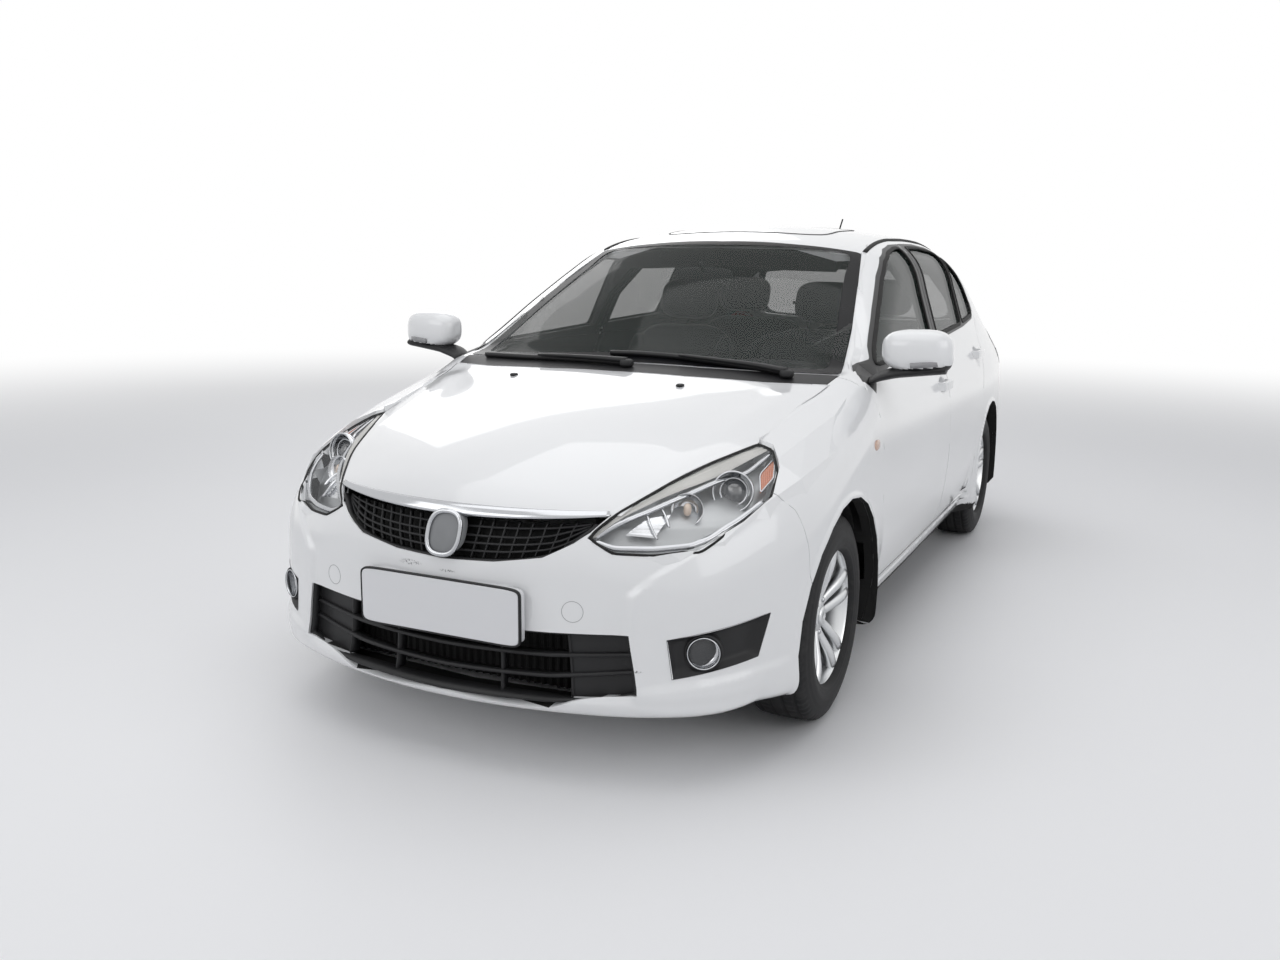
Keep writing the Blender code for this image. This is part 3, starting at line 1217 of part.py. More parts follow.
# Empties on the joints' axes, and every piece on what carries it
door_pivots = {}
for side_name, side in (('left', 1), ('right', -1)):
    for name, line in (('front', front_door_line), ('rear', rear_door_line)):
        hinge_y = min(y for y, z in line) + door_cut_gap
        door_pivots[name, side_name] = empty('pivot_door_' + name + '_' + side_name,
                                             (side * half_width, hinge_y, height / 2))
bonnet_pivot = empty('pivot_bonnet', (0, max(y for x, y in bonnet_line), height * 0.6566))
hinge_y = along(hinge_y_share)
tailgate_pivot = empty('pivot_tailgate', (0, hinge_y, float(top_z(0.0, hinge_y))))
steer_pivots = {}
wheel_pivots = {}
for side_name, side in (('left', 1), ('right', -1)):
    steer_pivots[side_name] = empty('pivot_steer_' + side_name, (side * steer_x, front_axle_y, tyre_radius))
    wheel_pivots['front', side_name] = empty('pivot_wheel_front_' + side_name, (side * track_x, front_axle_y, tyre_radius),
                                             steer_pivots[side_name])
    wheel_pivots['rear', side_name] = empty('pivot_wheel_rear_' + side_name, (side * track_x, rear_axle_y, tyre_radius))

piece('body_shell', body, white_paint)
piece('bonnet', bonnet, white_paint, bonnet_pivot)
piece('front_bumper', front_bumper, white_paint)
piece('rear_bumper', rear_bumper, white_paint)
piece('tailgate', tailgate, white_paint, tailgate_pivot)
piece('tailgate_glass', tailgate_glass, clear_glass, tailgate_pivot)
piece('windscreen', windscreen, clear_glass)
piece('cowl', cowl, black_plastic)
piece('upper_grille', upper_grille, black_plastic)
piece('lower_grille', lower_grille, black_plastic)
piece('front_plate', front_plate, plate_white)
piece('antenna', antenna, black_plastic)
piece('front_subframe', subframe, chassis_steel)
piece('rear_axle', rear_axle, chassis_steel)
piece('engine', engine, cast_metal)
piece('exhaust', exhaust, chassis_steel)
piece('dashboard', dashboard, dark_trim)
piece('steering_wheel', steering, dark_trim)
piece('rear_seat', moved(rear_seat, Matrix.Translation((0, rear_seat_y, cushion_z))), seat_cloth)
for side_name, side in (('left', 1), ('right', -1)):
    def sided(mesh):
        return mirrored(mesh) if side < 0 else mesh
    end = '_' + side_name
    piece('fender' + end, sided(fender), white_paint)
    piece('headlamp' + end, sided(headlamp), lamp_glass)
    piece('tail_lamp' + end, sided(tail_lamp), red_lens)
    piece('fog_lamp' + end, sided(fog_panel), black_plastic)
    for name in ('front', 'rear'):
        pivot = door_pivots[name, side_name]
        piece('door_' + name + end, sided(door_solid[name]), white_paint, pivot)
        piece('glass_' + name + end, sided(glass[name]), clear_glass, pivot)
        holder = wheel_pivots[name, side_name]
        y = front_axle_y if name == 'front' else rear_axle_y
        piece('tyre_' + name + end, mirrored_place(tyre_base, side * track_x, y, tyre_radius), rubber, holder)
        piece('rim_' + name + end, mirrored_place(rim_base, side * track_x, y, tyre_radius), alloy, holder)
    piece('quarter_glass' + end, sided(glass['quarter']), clear_glass, door_pivots['rear', side_name])
    piece('mirror' + end, sided(mirror_mesh), white_paint, door_pivots['front', side_name])
    piece('knuckle' + end, mirrored_place(knuckle_base, side * track_x, front_axle_y, tyre_radius), cast_metal,
          steer_pivots[side_name])
    piece('seat_front' + end, moved(front_seat, Matrix.Translation((side * seat_x, seat_y, cushion_z))), seat_cloth)
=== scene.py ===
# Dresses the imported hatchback: smooth panels, glass, lamps, grilles, wheels and cabin
import bpy
import bmesh
import math
import numpy as np
from mathutils import Matrix, Vector
from mathutils.bvhtree import BVHTree


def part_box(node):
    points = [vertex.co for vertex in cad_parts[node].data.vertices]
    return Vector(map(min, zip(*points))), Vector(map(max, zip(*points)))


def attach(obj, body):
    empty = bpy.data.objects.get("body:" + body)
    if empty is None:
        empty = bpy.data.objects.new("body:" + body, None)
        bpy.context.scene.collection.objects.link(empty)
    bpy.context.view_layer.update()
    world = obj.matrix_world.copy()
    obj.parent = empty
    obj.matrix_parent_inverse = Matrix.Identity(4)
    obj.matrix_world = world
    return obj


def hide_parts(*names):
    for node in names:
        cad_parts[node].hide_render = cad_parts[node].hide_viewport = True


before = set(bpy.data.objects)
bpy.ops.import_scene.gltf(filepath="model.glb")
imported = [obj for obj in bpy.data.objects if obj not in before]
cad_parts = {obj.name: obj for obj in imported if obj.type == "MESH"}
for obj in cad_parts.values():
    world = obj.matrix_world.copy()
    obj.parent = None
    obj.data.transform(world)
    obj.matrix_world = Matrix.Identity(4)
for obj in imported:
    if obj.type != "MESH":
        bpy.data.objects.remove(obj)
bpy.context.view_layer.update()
print("frame loaded")

# The lines that the body's skin is made of, in metres: (place, value)
skinLines = {
    "topLine": [(-2.279, 0.56), (-2.149, 0.68), (-2.059, 0.745), (-1.929, 0.805), (-1.729, 0.868),
                (-1.529, 0.915), (-1.329, 0.95), (-1.149, 0.976), (-1.029, 0.996), (-0.919, 1.045),
                (-0.649, 1.19), (-0.409, 1.31), (-0.189, 1.408), (-0.029, 1.447), (0.221, 1.475),
                (0.521, 1.485), (0.821, 1.478), (1.121, 1.452), (1.371, 1.41), (1.551, 1.362),
                (1.691, 1.285), (1.831, 1.175), (1.951, 1.06), (2.031, 0.96), (2.091, 0.86), (2.171, 0.7)],
    "topBow": [(-2.229, 0.5), (-1.929, 0.42), (-1.429, 0.3), (-1.029, 0.26), (-0.529, 0.26),
               (-0.029, 0.24), (0.471, 0), (1.271, -0.12), (1.871, -0.16), (2.171, -0.2)],
    "topCrown": [(-2.229, 0.02), (-1.929, 0.06), (-1.529, 0.07), (-1.129, 0.04), (-0.929, 0),
                 (-0.229, 0.04), (0.071, 0.09), (0.571, 0.12), (1.371, 0.12), (1.771, 0.1), (2.171, 0.05)],
    "planLine": [(-2.229, 0.8), (-2.029, 0.815), (-1.729, 0.842), (-1.319, 0.856), (-0.829, 0.858),
                 (-0.029, 0.862), (0.771, 0.862), (1.291, 0.857), (1.671, 0.838), (1.971, 0.8),
                 (2.171, 0.76)],
    "tuckLine": [(0.15, 0.095), (0.22, 0.07), (0.32, 0.035), (0.45, 0.01), (0.6, 0), (0.74, 0.004),
                 (0.84, 0.016), (0.92, 0.04), (0.98, 0.066), (1.05, 0.092), (1.2, 0.145), (1.35, 0.2),
                 (1.43, 0.243), (1.5, 0.31)],
    "rearTuck": [(-2.229, 0), (0.171, 0), (0.771, 0.004), (1.371, 0.022), (1.971, 0.065), (2.171, 0.08)],
    "noseLine": [(0.12, -2.069), (0.17, -2.114), (0.24, -2.141), (0.33, -2.134), (0.45, -2.134),
                 (0.55, -2.129), (0.65, -2.114), (0.75, -2.079), (0.9, -1.979)],
    "tailLine": [(0.12, 1.971), (0.2, 2.061), (0.35, 2.126), (0.5, 2.141), (0.62, 2.116), (0.72, 2.071),
                 (0.85, 2.071), (1, 2.051), (1.2, 2.001)],
    "shoulderBlend": [(-2.229, 0.1), (-1.529, 0.14), (-1.029, 0.11), (-0.829, 0.07), (-0.129, 0.09),
                      (0.371, 0.14), (1.471, 0.14), (2.171, 0.1)],
}
skin = {
    "halfWidth": 0.862, "clearance": 0.190, "noseBow": 0.267, "tailBow": 0.104,
    "noseCorner": [(0.523, 0.406), (0.721, 1.917)], "tailCorner": [(0.523, 0.369), (0.767, 2.213)],
    "axles": (-1.319, 1.291), "wheelHeight": 0.308, "archRadius": 0.362, "flareReach": 0.130,
    "flareTop": 0.6, "rearTuckZ": (0.80, 1.25), "slopeStep": 0.012,
    "noseBlend": 0.060, "tailBlend": 0.070, "sillBlend": 0.050,
}


# A smooth line through a table that doesn't overshoot: cubic pieces whose slopes at the
# points are weighted harmonic means of the slopes on both sides
def lineThrough(table):
    a = np.array([p[0] for p in table], float)
    b = np.array([p[1] for p in table], float)
    h = np.diff(a)
    d = np.diff(b) / h
    m = np.zeros_like(a)
    same = d[:-1] * d[1:] > 0
    w1 = 2 * h[1:] + h[:-1]
    w2 = h[1:] + 2 * h[:-1]
    m[1:-1] = np.where(same, (w1 + w2) / (w1 / np.where(same, d[:-1], 1) + w2 / np.where(same, d[1:], 1)), 0)
    m[0] = d[0]
    m[-1] = d[-1]

    def value(t):
        t = np.asarray(t, float)
        i = np.clip(np.searchsorted(a, t) - 1, 0, len(h) - 1)
        s = (t - a[i]) / h[i]
        inside = ((2 * s**3 - 3 * s**2 + 1) * b[i] + (3 * s**2 - 2 * s**3) * b[i + 1]
                  + ((s**3 - 2 * s**2 + s) * m[i] + (s**3 - s**2) * m[i + 1]) * h[i])
        low = b[0] + m[0] * (t - a[0])
        high = b[-1] + m[-1] * (t - a[-1])
        return np.where(t < a[0], low, np.where(t > a[-1], high, inside))
    return value


lines = {name: lineThrough(table) for name, table in skinLines.items()}


# Eases from 0 at a to 1 at b
def ease(a, b, t):
    s = np.clip((t - a) / (b - a), 0, 1)
    return s * s * (3 - 2 * s)


# The larger of two, rounded over reach where they meet
def smoothMax(a, b, reach):
    s = np.clip(1 - np.abs(a - b) / reach, 0, 1)
    return np.maximum(a, b) + s * s * reach / 4


def topZ(x, y):
    w = (x / skin["halfWidth"])**2
    return lines["topLine"](y - lines["topBow"](y) * w) - lines["topCrown"](y) * w


# Distance to the nearer axle as seen from the side
def fromAxle(y, z):
    return np.minimum(*[np.hypot(y - axle, z - skin["wheelHeight"]) for axle in skin["axles"]])


def sideX(y, z):
    flare = ease(skin["archRadius"], skin["archRadius"] + skin["flareReach"], fromAxle(y, z))
    low = np.where(z < skin["flareTop"], 1 - flare, 0)
    rear = lines["rearTuck"](y) * ease(*skin["rearTuckZ"], z)
    return lines["planLine"](y) - lines["tuckLine"](z) * (1 - low) - rear


def noseY(x, z):
    w = np.abs(x) / skin["halfWidth"]
    corner = sum(k * np.clip(w - start, 0, None)**2 for start, k in skin["noseCorner"])
    return lines["noseLine"](z) + skin["noseBow"] * w**2 + corner


def tailY(x, z):
    w = np.abs(x) / skin["halfWidth"]
    corner = sum(k * np.clip(w - start, 0, None)**2 for start, k in skin["tailCorner"])
    return lines["tailLine"](z) - skin["tailBow"] * w**2 - corner


# Distance outside the skin, negative inside: the smooth largest of side, top, nose, tail and sill
def skinDistance(p):
    x = np.abs(p[..., 0])
    y = p[..., 1]
    z = p[..., 2]
    e = skin["slopeStep"]
    slope = (topZ(x, y + e) - topZ(x, y - e)) / (2 * e)
    value = smoothMax(x - sideX(y, z), (z - topZ(x, y)) / np.sqrt(1 + slope**2), lines["shoulderBlend"](y))
    slope = (noseY(x + e, z) - noseY(x, z)) / e
    value = smoothMax(value, (noseY(x, z) - y) / np.sqrt(1 + slope**2), skin["noseBlend"])
    slope = (tailY(x + e, z) - tailY(x, z)) / e
    value = smoothMax(value, (y - tailY(x, z)) / np.sqrt(1 + slope**2), skin["tailBlend"])
    return smoothMax(value, skin["clearance"] - z, skin["sillBlend"])


castSizes = {"side": 0.25, "nose": -1.55, "top": 0.60, "tail": 1.40, "reach": 3.0, "rounds": 34}


# Points on the skin: two coordinates are given, and along the third axis a line runs from a start
# inside the car until it crosses the skin, found by halving
def castOut(a, b, axis, start, turn=1):
    a, b = [np.atleast_1d(np.asarray(value, float)) for value in (a, b)]
    p = np.insert(np.stack([a, b], -1), axis, start, axis=1)
    way = np.eye(3)[axis] * turn
    near = np.zeros(len(p))
    far = np.full(len(p), castSizes["reach"])
    for i in range(castSizes["rounds"]):
        middle = (near + far) / 2
        inside = skinDistance(p + way * middle[:, None]) < 0
        near = np.where(inside, middle, near)
        far = np.where(inside, far, middle)
    return p + way * near[:, None]


def atSide(y, z):
    return castOut(y, z, 0, castSizes["side"])


def atNose(x, z):
    return castOut(x, z, 1, castSizes["nose"], -1)


def atTop(x, y):
    return castOut(x, y, 2, castSizes["top"])


def atTail(x, z):
    return castOut(x, z, 1, castSizes["tail"])


# One socket of a shader graph, on which + - * / work as Math nodes
class Value:
    def __init__(self, graph, socket):
        self.graph = graph
        self.socket = socket

    def math(self, operation, *others):
        return self.graph.add("ShaderNodeMath", {"operation": operation}, dict(enumerate((self,) + others)))

    def __add__(self, other):
        return self.math("ADD", other)

    def __sub__(self, other):
        return self.math("SUBTRACT", other)

    def __rsub__(self, other):
        return self.graph.add("ShaderNodeMath", {"operation": "SUBTRACT"}, {0: other, 1: self})

    def __mul__(self, other):
        return self.math("MULTIPLY", other)

    def __truediv__(self, other):
        return self.math("DIVIDE", other)

    def clamp(self):
        return self.graph.add("ShaderNodeClamp", {}, {"Value": self})

    def band(self, low, high):
        return self.graph.add("ShaderNodeMapRange", {"interpolation_type": "SMOOTHSTEP"},
                              {"Value": self, "From Min": low, "From Max": high})

    __radd__ = __add__
    __rmul__ = __mul__


# A material's nodes; add() makes any node from its type, its settings and its sockets' values
class Graph:
    def __init__(self, name):
        self.material = bpy.data.materials.new(name)
        self.material.use_nodes = True
        self.tree = self.material.node_tree
        self.shader = self.tree.nodes["Principled BSDF"]

    def add(self, kind, settings=None, sockets=None, output=0):
        node = self.tree.nodes.new(kind)
        for key, value in (settings or {}).items():
            if key == "ramp":
                while len(node.color_ramp.elements) < len(value):
                    node.color_ramp.elements.new(0.5)
                for element, (place, tone) in zip(node.color_ramp.elements, value):
                    element.position = place
                    element.color = (*tone, 1) if isinstance(tone, tuple) else (tone, tone, tone, 1)
            else:
                setattr(node, key, value)
        self.fill(node, sockets or {})
        return Value(self, node.outputs[output])

    def fill(self, node, sockets):
        for key, value in sockets.items():
            if isinstance(value, Value):
                self.tree.links.new(value.socket, node.inputs[key])
            else:
                node.inputs[key].default_value = value

    def place(self):
        return self.add("ShaderNodeTexCoord", {}, {}, 3)

    def noise(self, scale, detail=3.0, roughness=0.5, place=None):
        return self.add("ShaderNodeTexNoise", {}, {"Vector": place or self.place(), "Scale": scale,
                                                   "Detail": detail, "Roughness": roughness})

    def mixColor(self, factor, a, b):
        node = self.tree.nodes.new("ShaderNodeMix")
        node.data_type = "RGBA"
        self.fill(node, {0: factor, 6: (*a, 1) if isinstance(a, tuple) else a,
                         7: (*b, 1) if isinstance(b, tuple) else b})
        return Value(self, node.outputs[2])

    def along(self, axis):
        return self.add("ShaderNodeSeparateXYZ", {}, {0: self.place()}, "XYZ".index(axis))

    def bump(self, height, strength, distance=0.001):
        return self.add("ShaderNodeBump", {}, {"Height": height, "Strength": strength, "Distance": distance})

    def finish(self, **sockets):
        names = {key: key.replace("_", " ") for key in sockets}
        self.fill(self.shader, {names[key]: (*v, 1) if isinstance(v, tuple) and len(v) == 3 else v
                                for key, v in sockets.items()})
        return self.material


# Places on a piece that follow the car's own lines: soft ridges, the step in the bumper and arch lips
formSizes = {
    "ridge": [(0.62, -1.06), (0.55, -1.50), (0.43, -1.94)], "ridgeHeight": 0.005, "ridgeReach": 0.055,
    "ridgeFront": (-1.96, -1.80), "ridgeBack": (-1.20, -1.06), "ridgeLow": (0.70, 0.76),
    "stepBack": (-1.90, -1.80), "stepLow": (0.235, 0.270), "stepHigh": (0.655, 0.70), "stepLevel": 0.6,
    "step": [(0.20, 0.520), (0.419, 0.497), (0.511, 0.499), (0.560, 0.540), (0.633, 0.634), (0.70, 0.70)],
    "stepDepth": 0.012, "stepReach": 0.020,
    "chin": [(0.0, 0.250), (0.45, 0.262), (0.56, 0.285), (0.80, 0.310)],
    "chinSoft": 0.014, "chinReach": 0.008, "chinEnds": (0.50, 0.60), "chinBack": (-1.76, -1.68),
    "chinLow": (0.193, 0.225), "lipHeight": 0.005, "lipReach": 0.030, "lipInset": 0.010, "lipFlat": 0.012,
    "lipFace": (0.60, 0.70), "lipTop": 0.72, "sillZ": (0.262, 0.272), "sillDepth": 0.006,
    "sillFront": (-0.95, -0.88), "sillBack": (0.86, 0.92), "cups": [(0.061, 0.865), (0.961, 0.925)],
    "cupSize": (0.062, 0.036), "cupDepth": 0.014, "cupEase": (0.35, 1.0), "cupFace": 0.6,
}
chinLine = lineThrough(formSizes["chin"])
stepLine = lineThrough([(z, x) for z, x in formSizes["step"]])
ridgeLine = lineThrough([(y, x) for x, y in formSizes["ridge"]])


# Height of the small forms over the plain skin: bonnet ridges as bells, steps as eased ramps
def forms(p):
    s = formSizes
    x = np.abs(p[..., 0])
    y = p[..., 1]
    z = p[..., 2]
    ridge = np.exp(-((x - ridgeLine(y)) / s["ridgeReach"])**2) * s["ridgeHeight"]
    ridge = ridge * ease(*s["ridgeFront"], y) * (1 - ease(*s["ridgeBack"], y)) * ease(*s["ridgeLow"], z)
    front = (1 - ease(*s["stepBack"], y)) * ease(*s["stepLow"], z) * (1 - ease(*s["stepHigh"], z))
    across = ease(-s["stepReach"], s["stepReach"], x - stepLine(z))
    step = (across - s["stepLevel"]) * s["stepDepth"] * front
    chin = 1 - ease(-s["chinSoft"], s["chinSoft"], z - chinLine(x))
    chin = chin * s["chinReach"] * (1 - ease(*s["chinBack"], y)) * ease(*s["chinLow"], z)
    chin = chin * ease(*s["chinEnds"], x)
    edge = skin["archRadius"] - s["lipInset"]
    lip = (1 - ease(edge + s["lipFlat"], edge + s["lipReach"], fromAxle(y, z))) * ease(*s["lipFace"], x)
    lip = lip * s["lipHeight"] * (z < s["lipTop"])
    sill = (1 - ease(*s["sillZ"], z)) * s["sillDepth"]
    sill = sill * ease(*s["sillFront"], y) * (1 - ease(*s["sillBack"], y))
    cup = 0
    for cy, cz in s["cups"]:
        far = np.hypot((y - cy) / s["cupSize"][0], (z - cz) / s["cupSize"][1])
        cup = cup - s["cupDepth"] * (1 - ease(*s["cupEase"], far)) * (x > s["cupFace"])
    return ridge + step + chin + lip + sill + cup


def bodyDistance(p):
    return skinDistance(p) - forms(p)


# The way out of a distance field, from differences over 2 mm
def wayOut(p, field=bodyDistance):
    e = 0.002
    way = np.stack([field(p + step) - field(p - step) for step in np.eye(3) * e], axis=-1)
    return way / np.maximum(np.linalg.norm(way, axis=-1, keepdims=True), 1e-9)


# Slides points along the field's normal until they lie so far outside it
def onto(p, outside=0.0, rounds=4):
    p = np.array(p, float)
    for i in range(rounds):
        p = p - wayOut(p) * (bodyDistance(p) - outside)[..., None]
    return p


# A piece from points and faces, with one finish of the look or several, on its body
def addMesh(name, points, faces, finish, body, slot, smooth=True, which=None, normals=None):
    mesh = bpy.data.meshes.new(name)
    mesh.from_pydata(np.asarray(points).tolist(), [], [list(map(int, f)) for f in faces])
    mesh.polygons.foreach_set("use_smooth", np.full(len(faces), bool(smooth)))
    for key in finish if isinstance(finish, tuple) else (finish,):
        mesh.materials.append(look[key])
    if which is not None:
        mesh.polygons.foreach_set("material_index", np.asarray(which, np.int32))
    if normals is not None:
        mesh.normals_split_custom_set(normals.tolist())
    piece = bpy.data.objects.new(name, mesh)
    bpy.context.scene.collection.objects.link(piece)
    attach(piece, body)
    return piece


# Faces of a grid of rows and columns, closed either way where it is asked
def gridFaces(rows, columns, closeRows=False, closeColumns=False, first=0):
    r = np.arange(rows if closeRows else rows - 1)
    c = np.arange(columns if closeColumns else columns - 1)
    r, c = [a.ravel() for a in np.meshgrid(r, c, indexing="ij")]
    r1 = (r + 1) % rows
    c1 = (c + 1) % columns
    faces = np.stack([r * columns + c, r * columns + c1, r1 * columns + c1, r1 * columns + c], -1)
    return (faces + first).tolist()


def joined(*shapes):
    points = []
    faces = []
    for p, f in shapes:
        start = sum(len(q) for q in points)
        points.append(np.asarray(p, float))
        faces += [[i + start for i in face] for face in f]
    return np.concatenate(points), faces


def mirrored(shape):
    return shape[0] * [-1, 1, 1], [face[::-1] for face in shape[1]]


# The left side's shape, or its mirror image for the right
def onSide(sign, shape):
    return shape if sign > 0 else mirrored(shape)


def moved(shape, at):
    return shape[0] + np.array(at), shape[1]


def unit(v):
    return v / np.maximum(np.linalg.norm(v, axis=-1, keepdims=True), 1e-9)


# A path with evenly spaced points along straight pieces between its corners
def spaced(path, step, closed=False):
    path = np.asarray(path, float)
    if closed:
        path = np.concatenate([path, path[:1]])
    run = np.concatenate([[0], np.cumsum(np.linalg.norm(np.diff(path, axis=0), axis=1))])
    t = np.linspace(0, run[-1], max(int(run[-1] / step), 2) + 1)
    if closed:
        t = t[:-1]
    return np.stack([np.interp(t, run, path[:, k]) for k in range(path.shape[1])], -1)


# Each point becomes the mean of itself and its neighbours, some times over
def softened(path, rounds=2, closed=False):
    path = np.asarray(path, float)
    for i in range(rounds):
        middle = (np.roll(path, 1, 0) + 2 * path + np.roll(path, -1, 0)) / 4
        if not closed:
            middle[0] = path[0]
            middle[-1] = path[-1]
        path = middle
    return path


# A section of (across, out) points carried along a path: place + across * side + out * outward
def sweep(path, outward, section, closed=False, scale=None):
    path = np.asarray(path, float)
    outward = unit(np.broadcast_to(np.asarray(outward, float), path.shape))
    if closed:
        along = np.roll(path, -1, 0) - np.roll(path, 1, 0)
    else:
        along = np.gradient(path, axis=0)
    side = unit(np.cross(unit(along), outward))
    section = np.asarray(section, float)
    if scale is None:
        scale = np.ones(len(path))
    grow = np.asarray(scale)[:, None, None]
    points = (path[:, None] + side[:, None] * section[None, :, :1] * grow
              + outward[:, None] * section[None, :, 1:] * grow).reshape(-1, 3)
    faces = gridFaces(len(path), len(section), closed, True)
    if not closed:
        n = len(section)
        faces += [list(range(n))[::-1], list(range(len(points) - n, len(points)))]
    return points, [face[::-1] for face in faces]


def circle(steps):
    return np.linspace(0, 2 * math.pi, steps, endpoint=False)


# A sine or cosine made squarer: sign(t) |t|^(2 / n)
def squared(t, n):
    return np.sign(t) * np.abs(t)**(2 / n)


# A rounded rectangle: |x / half width|^n + |y / half height|^n = 1
def softSquare(wide, tall, power, steps):
    a = circle(steps)
    return np.stack([squared(np.cos(a), power) * wide / 2, squared(np.sin(a), power) * tall / 2], -1)


# The directions of a rounded block's points on a grid of two angles
def blockGrid(rows, columns):
    return np.meshgrid(np.linspace(-math.pi / 2, math.pi / 2, rows), circle(columns), indexing="ij")


# A section with a flat top: its foot lies sunk under the path, its top rises over it
def flatTop(foot, sink, top, rise):
    return [(-foot, -sink), (foot, -sink), (top, rise), (-top, rise)]


def roundSection(radius, steps=10, flat=1.0):
    a = circle(steps)
    return np.stack([np.cos(a) * radius, np.sin(a) * radius * flat], -1)


# Two directions square to an axis
def squareTo(axis):
    axis = unit(np.asarray(axis, float))
    u = np.cross(axis, [0, 0, 1.0])
    if np.linalg.norm(u) < 0.1:
        u = np.cross(axis, [1.0, 0, 0])
    u = unit(u)
    return u, np.cross(axis, u)


# A profile of (radius, along) points turned round an axis
def turned(profile, centre, axis, steps=48, closed=True):
    profile = np.asarray(profile, float)
    u, v = squareTo(axis)
    a = circle(steps)
    ring = u * np.cos(a)[:, None] + v * np.sin(a)[:, None]
    points = (np.asarray(centre, float) + ring[:, None] * profile[None, :, :1]
              + unit(np.asarray(axis, float)) * profile[None, :, 1:]).reshape(-1, 3)
    return points, gridFaces(steps, len(profile), True, closed)


# A disc or dome: rings from the middle out, rising by the height function of the share of the radius
def dome(centre, axis, radius, height, steps=40, rings=10):
    r = np.linspace(1e-4, 1, rings)
    profile = np.stack([r * radius, height * (1 - r**2)], -1)
    points, faces = turned(profile, centre, axis, steps, False)
    first = [i * rings for i in range(steps)]
    return points, faces + [first[::-1]]


# A rounded block: |x/a|^n + |y/b|^n + |z/c|^n = 1 on a grid of two angles
def roundedBlock(centre, size, power=4.0, turn=None, rows=16, columns=28):
    u, v = blockGrid(rows, columns)
    cu, su, cv, sv = [squared(t, power) for t in (np.cos(u), np.sin(u), np.cos(v), np.sin(v))]
    p = np.stack([cu * cv, cu * sv, su], -1).reshape(-1, 3) * np.asarray(size, float) / 2
    if turn is not None:
        p = p @ np.array(turn).T
    return p + np.asarray(centre, float), gridFaces(rows, columns, False, True)


def turnX(angle):
    c, s = math.cos(angle), math.sin(angle)
    return np.array([[1, 0, 0], [0, c, -s], [0, s, c]])


def merged(piece, distance=0.00002):
    work = bmesh.new()
    work.from_mesh(piece.data)
    bmesh.ops.remove_doubles(work, verts=work.verts, dist=distance)
    bmesh.ops.recalc_face_normals(work, faces=work.faces)
    work.to_mesh(piece.data)
    work.free()
    return piece


# Halves each edge longer than the limit round the tagged faces: one, two or three new corners on a
# triangle make it two, three or four triangles
def splitLong(points, faces, tags, limit, rounds=9):
    for i in range(rounds):
        edges = np.sort(faces[:, [0, 1, 1, 2, 2, 0]].reshape(-1, 2), axis=1)
        keys, back = np.unique(edges, axis=0, return_inverse=True)
        back = back.reshape(-1, 3)
        lengths = np.linalg.norm(points[keys[:, 0]] - points[keys[:, 1]], axis=1)
        hot = np.zeros(len(keys), bool)
        hot[back[tags >= 0].ravel()] = True
        cut = hot & (lengths > limit)
        if not cut.any():
            break
        number = np.full(len(keys), -1)
        number[cut] = len(points) + np.arange(cut.sum())
        points = np.concatenate([points, (points[keys[cut, 0]] + points[keys[cut, 1]]) / 2])
        middle = number[back]
        count = (middle >= 0).sum(axis=1)
        parts = [(faces[count == 0], tags[count == 0])]
        for k in range(3):
            a, b, c = [faces[:, (k + j) % 3] for j in range(3)]
            ab, bc, ca = [middle[:, (k + j) % 3] for j in range(3)]
            one = (count == 1) & (ab >= 0)
            two = (count == 2) & (ca < 0)
            for rows, corners in ((one, (a, ab, c)), (one, (ab, b, c)), (two, (a, ab, c)), (two, (ab, bc, c)),
                                  (two, (ab, b, bc))):
                parts.append((np.stack(corners, -1)[rows], tags[rows]))
        three = count == 3
        a, b, c = faces[three].T
        ab, bc, ca = middle[three].T
        for corners in ((a, ab, ca), (ab, b, bc), (bc, c, ca), (ab, bc, ca)):
            parts.append((np.stack(corners, -1), tags[three]))
        faces = np.concatenate([p[0] for p in parts])
        tags = np.concatenate([p[1] for p in parts])
    return points, faces, tags


def nodeMesh(name):
    work = bmesh.new()
    work.from_mesh(bpy.data.objects[name].data)
    bmesh.ops.remove_doubles(work, verts=work.verts, dist=0.00002)
    bmesh.ops.triangulate(work, faces=work.faces)
    points = np.array([v.co for v in work.verts])
    faces = np.array([[v.index for v in f.verts] for f in work.faces])
    work.free()
    return points, faces


def faceWays(points, faces):
    a, b, c = [points[faces[:, k]] for k in range(3)]
    return unit(np.cross(b - a, c - a)), (a + b + c) / 3


panelSizes = {
    "edge": 0.026, "reach": 0.016, "facing": 0.6, "sight": 0.8, "lift": 0.002, "deepest": 0.07,
    "bold": 0.03, "rimDepth": 0.022, "archGap": 0.004, "floorTop": 0.232,
}


# All the solids together, to tell which faces nothing else covers
def makeCover():
    points = []
    faces = []
    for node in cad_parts:
        p, f = nodeMesh(node)
        faces += (f + sum(len(q) for q in points)).tolist()
        points.append(p)
    return BVHTree.FromPolygons(np.concatenate(points).tolist(), faces)


cover = makeCover()


# True where a straight line along the way meets no other solid
def openAir(middle, way):
    start = middle + way * panelSizes["lift"]
    hits = [cover.ray_cast(Vector(p), Vector(w), panelSizes["sight"])[0] is None for p, w in zip(start, way)]
    return np.array(hits, bool)


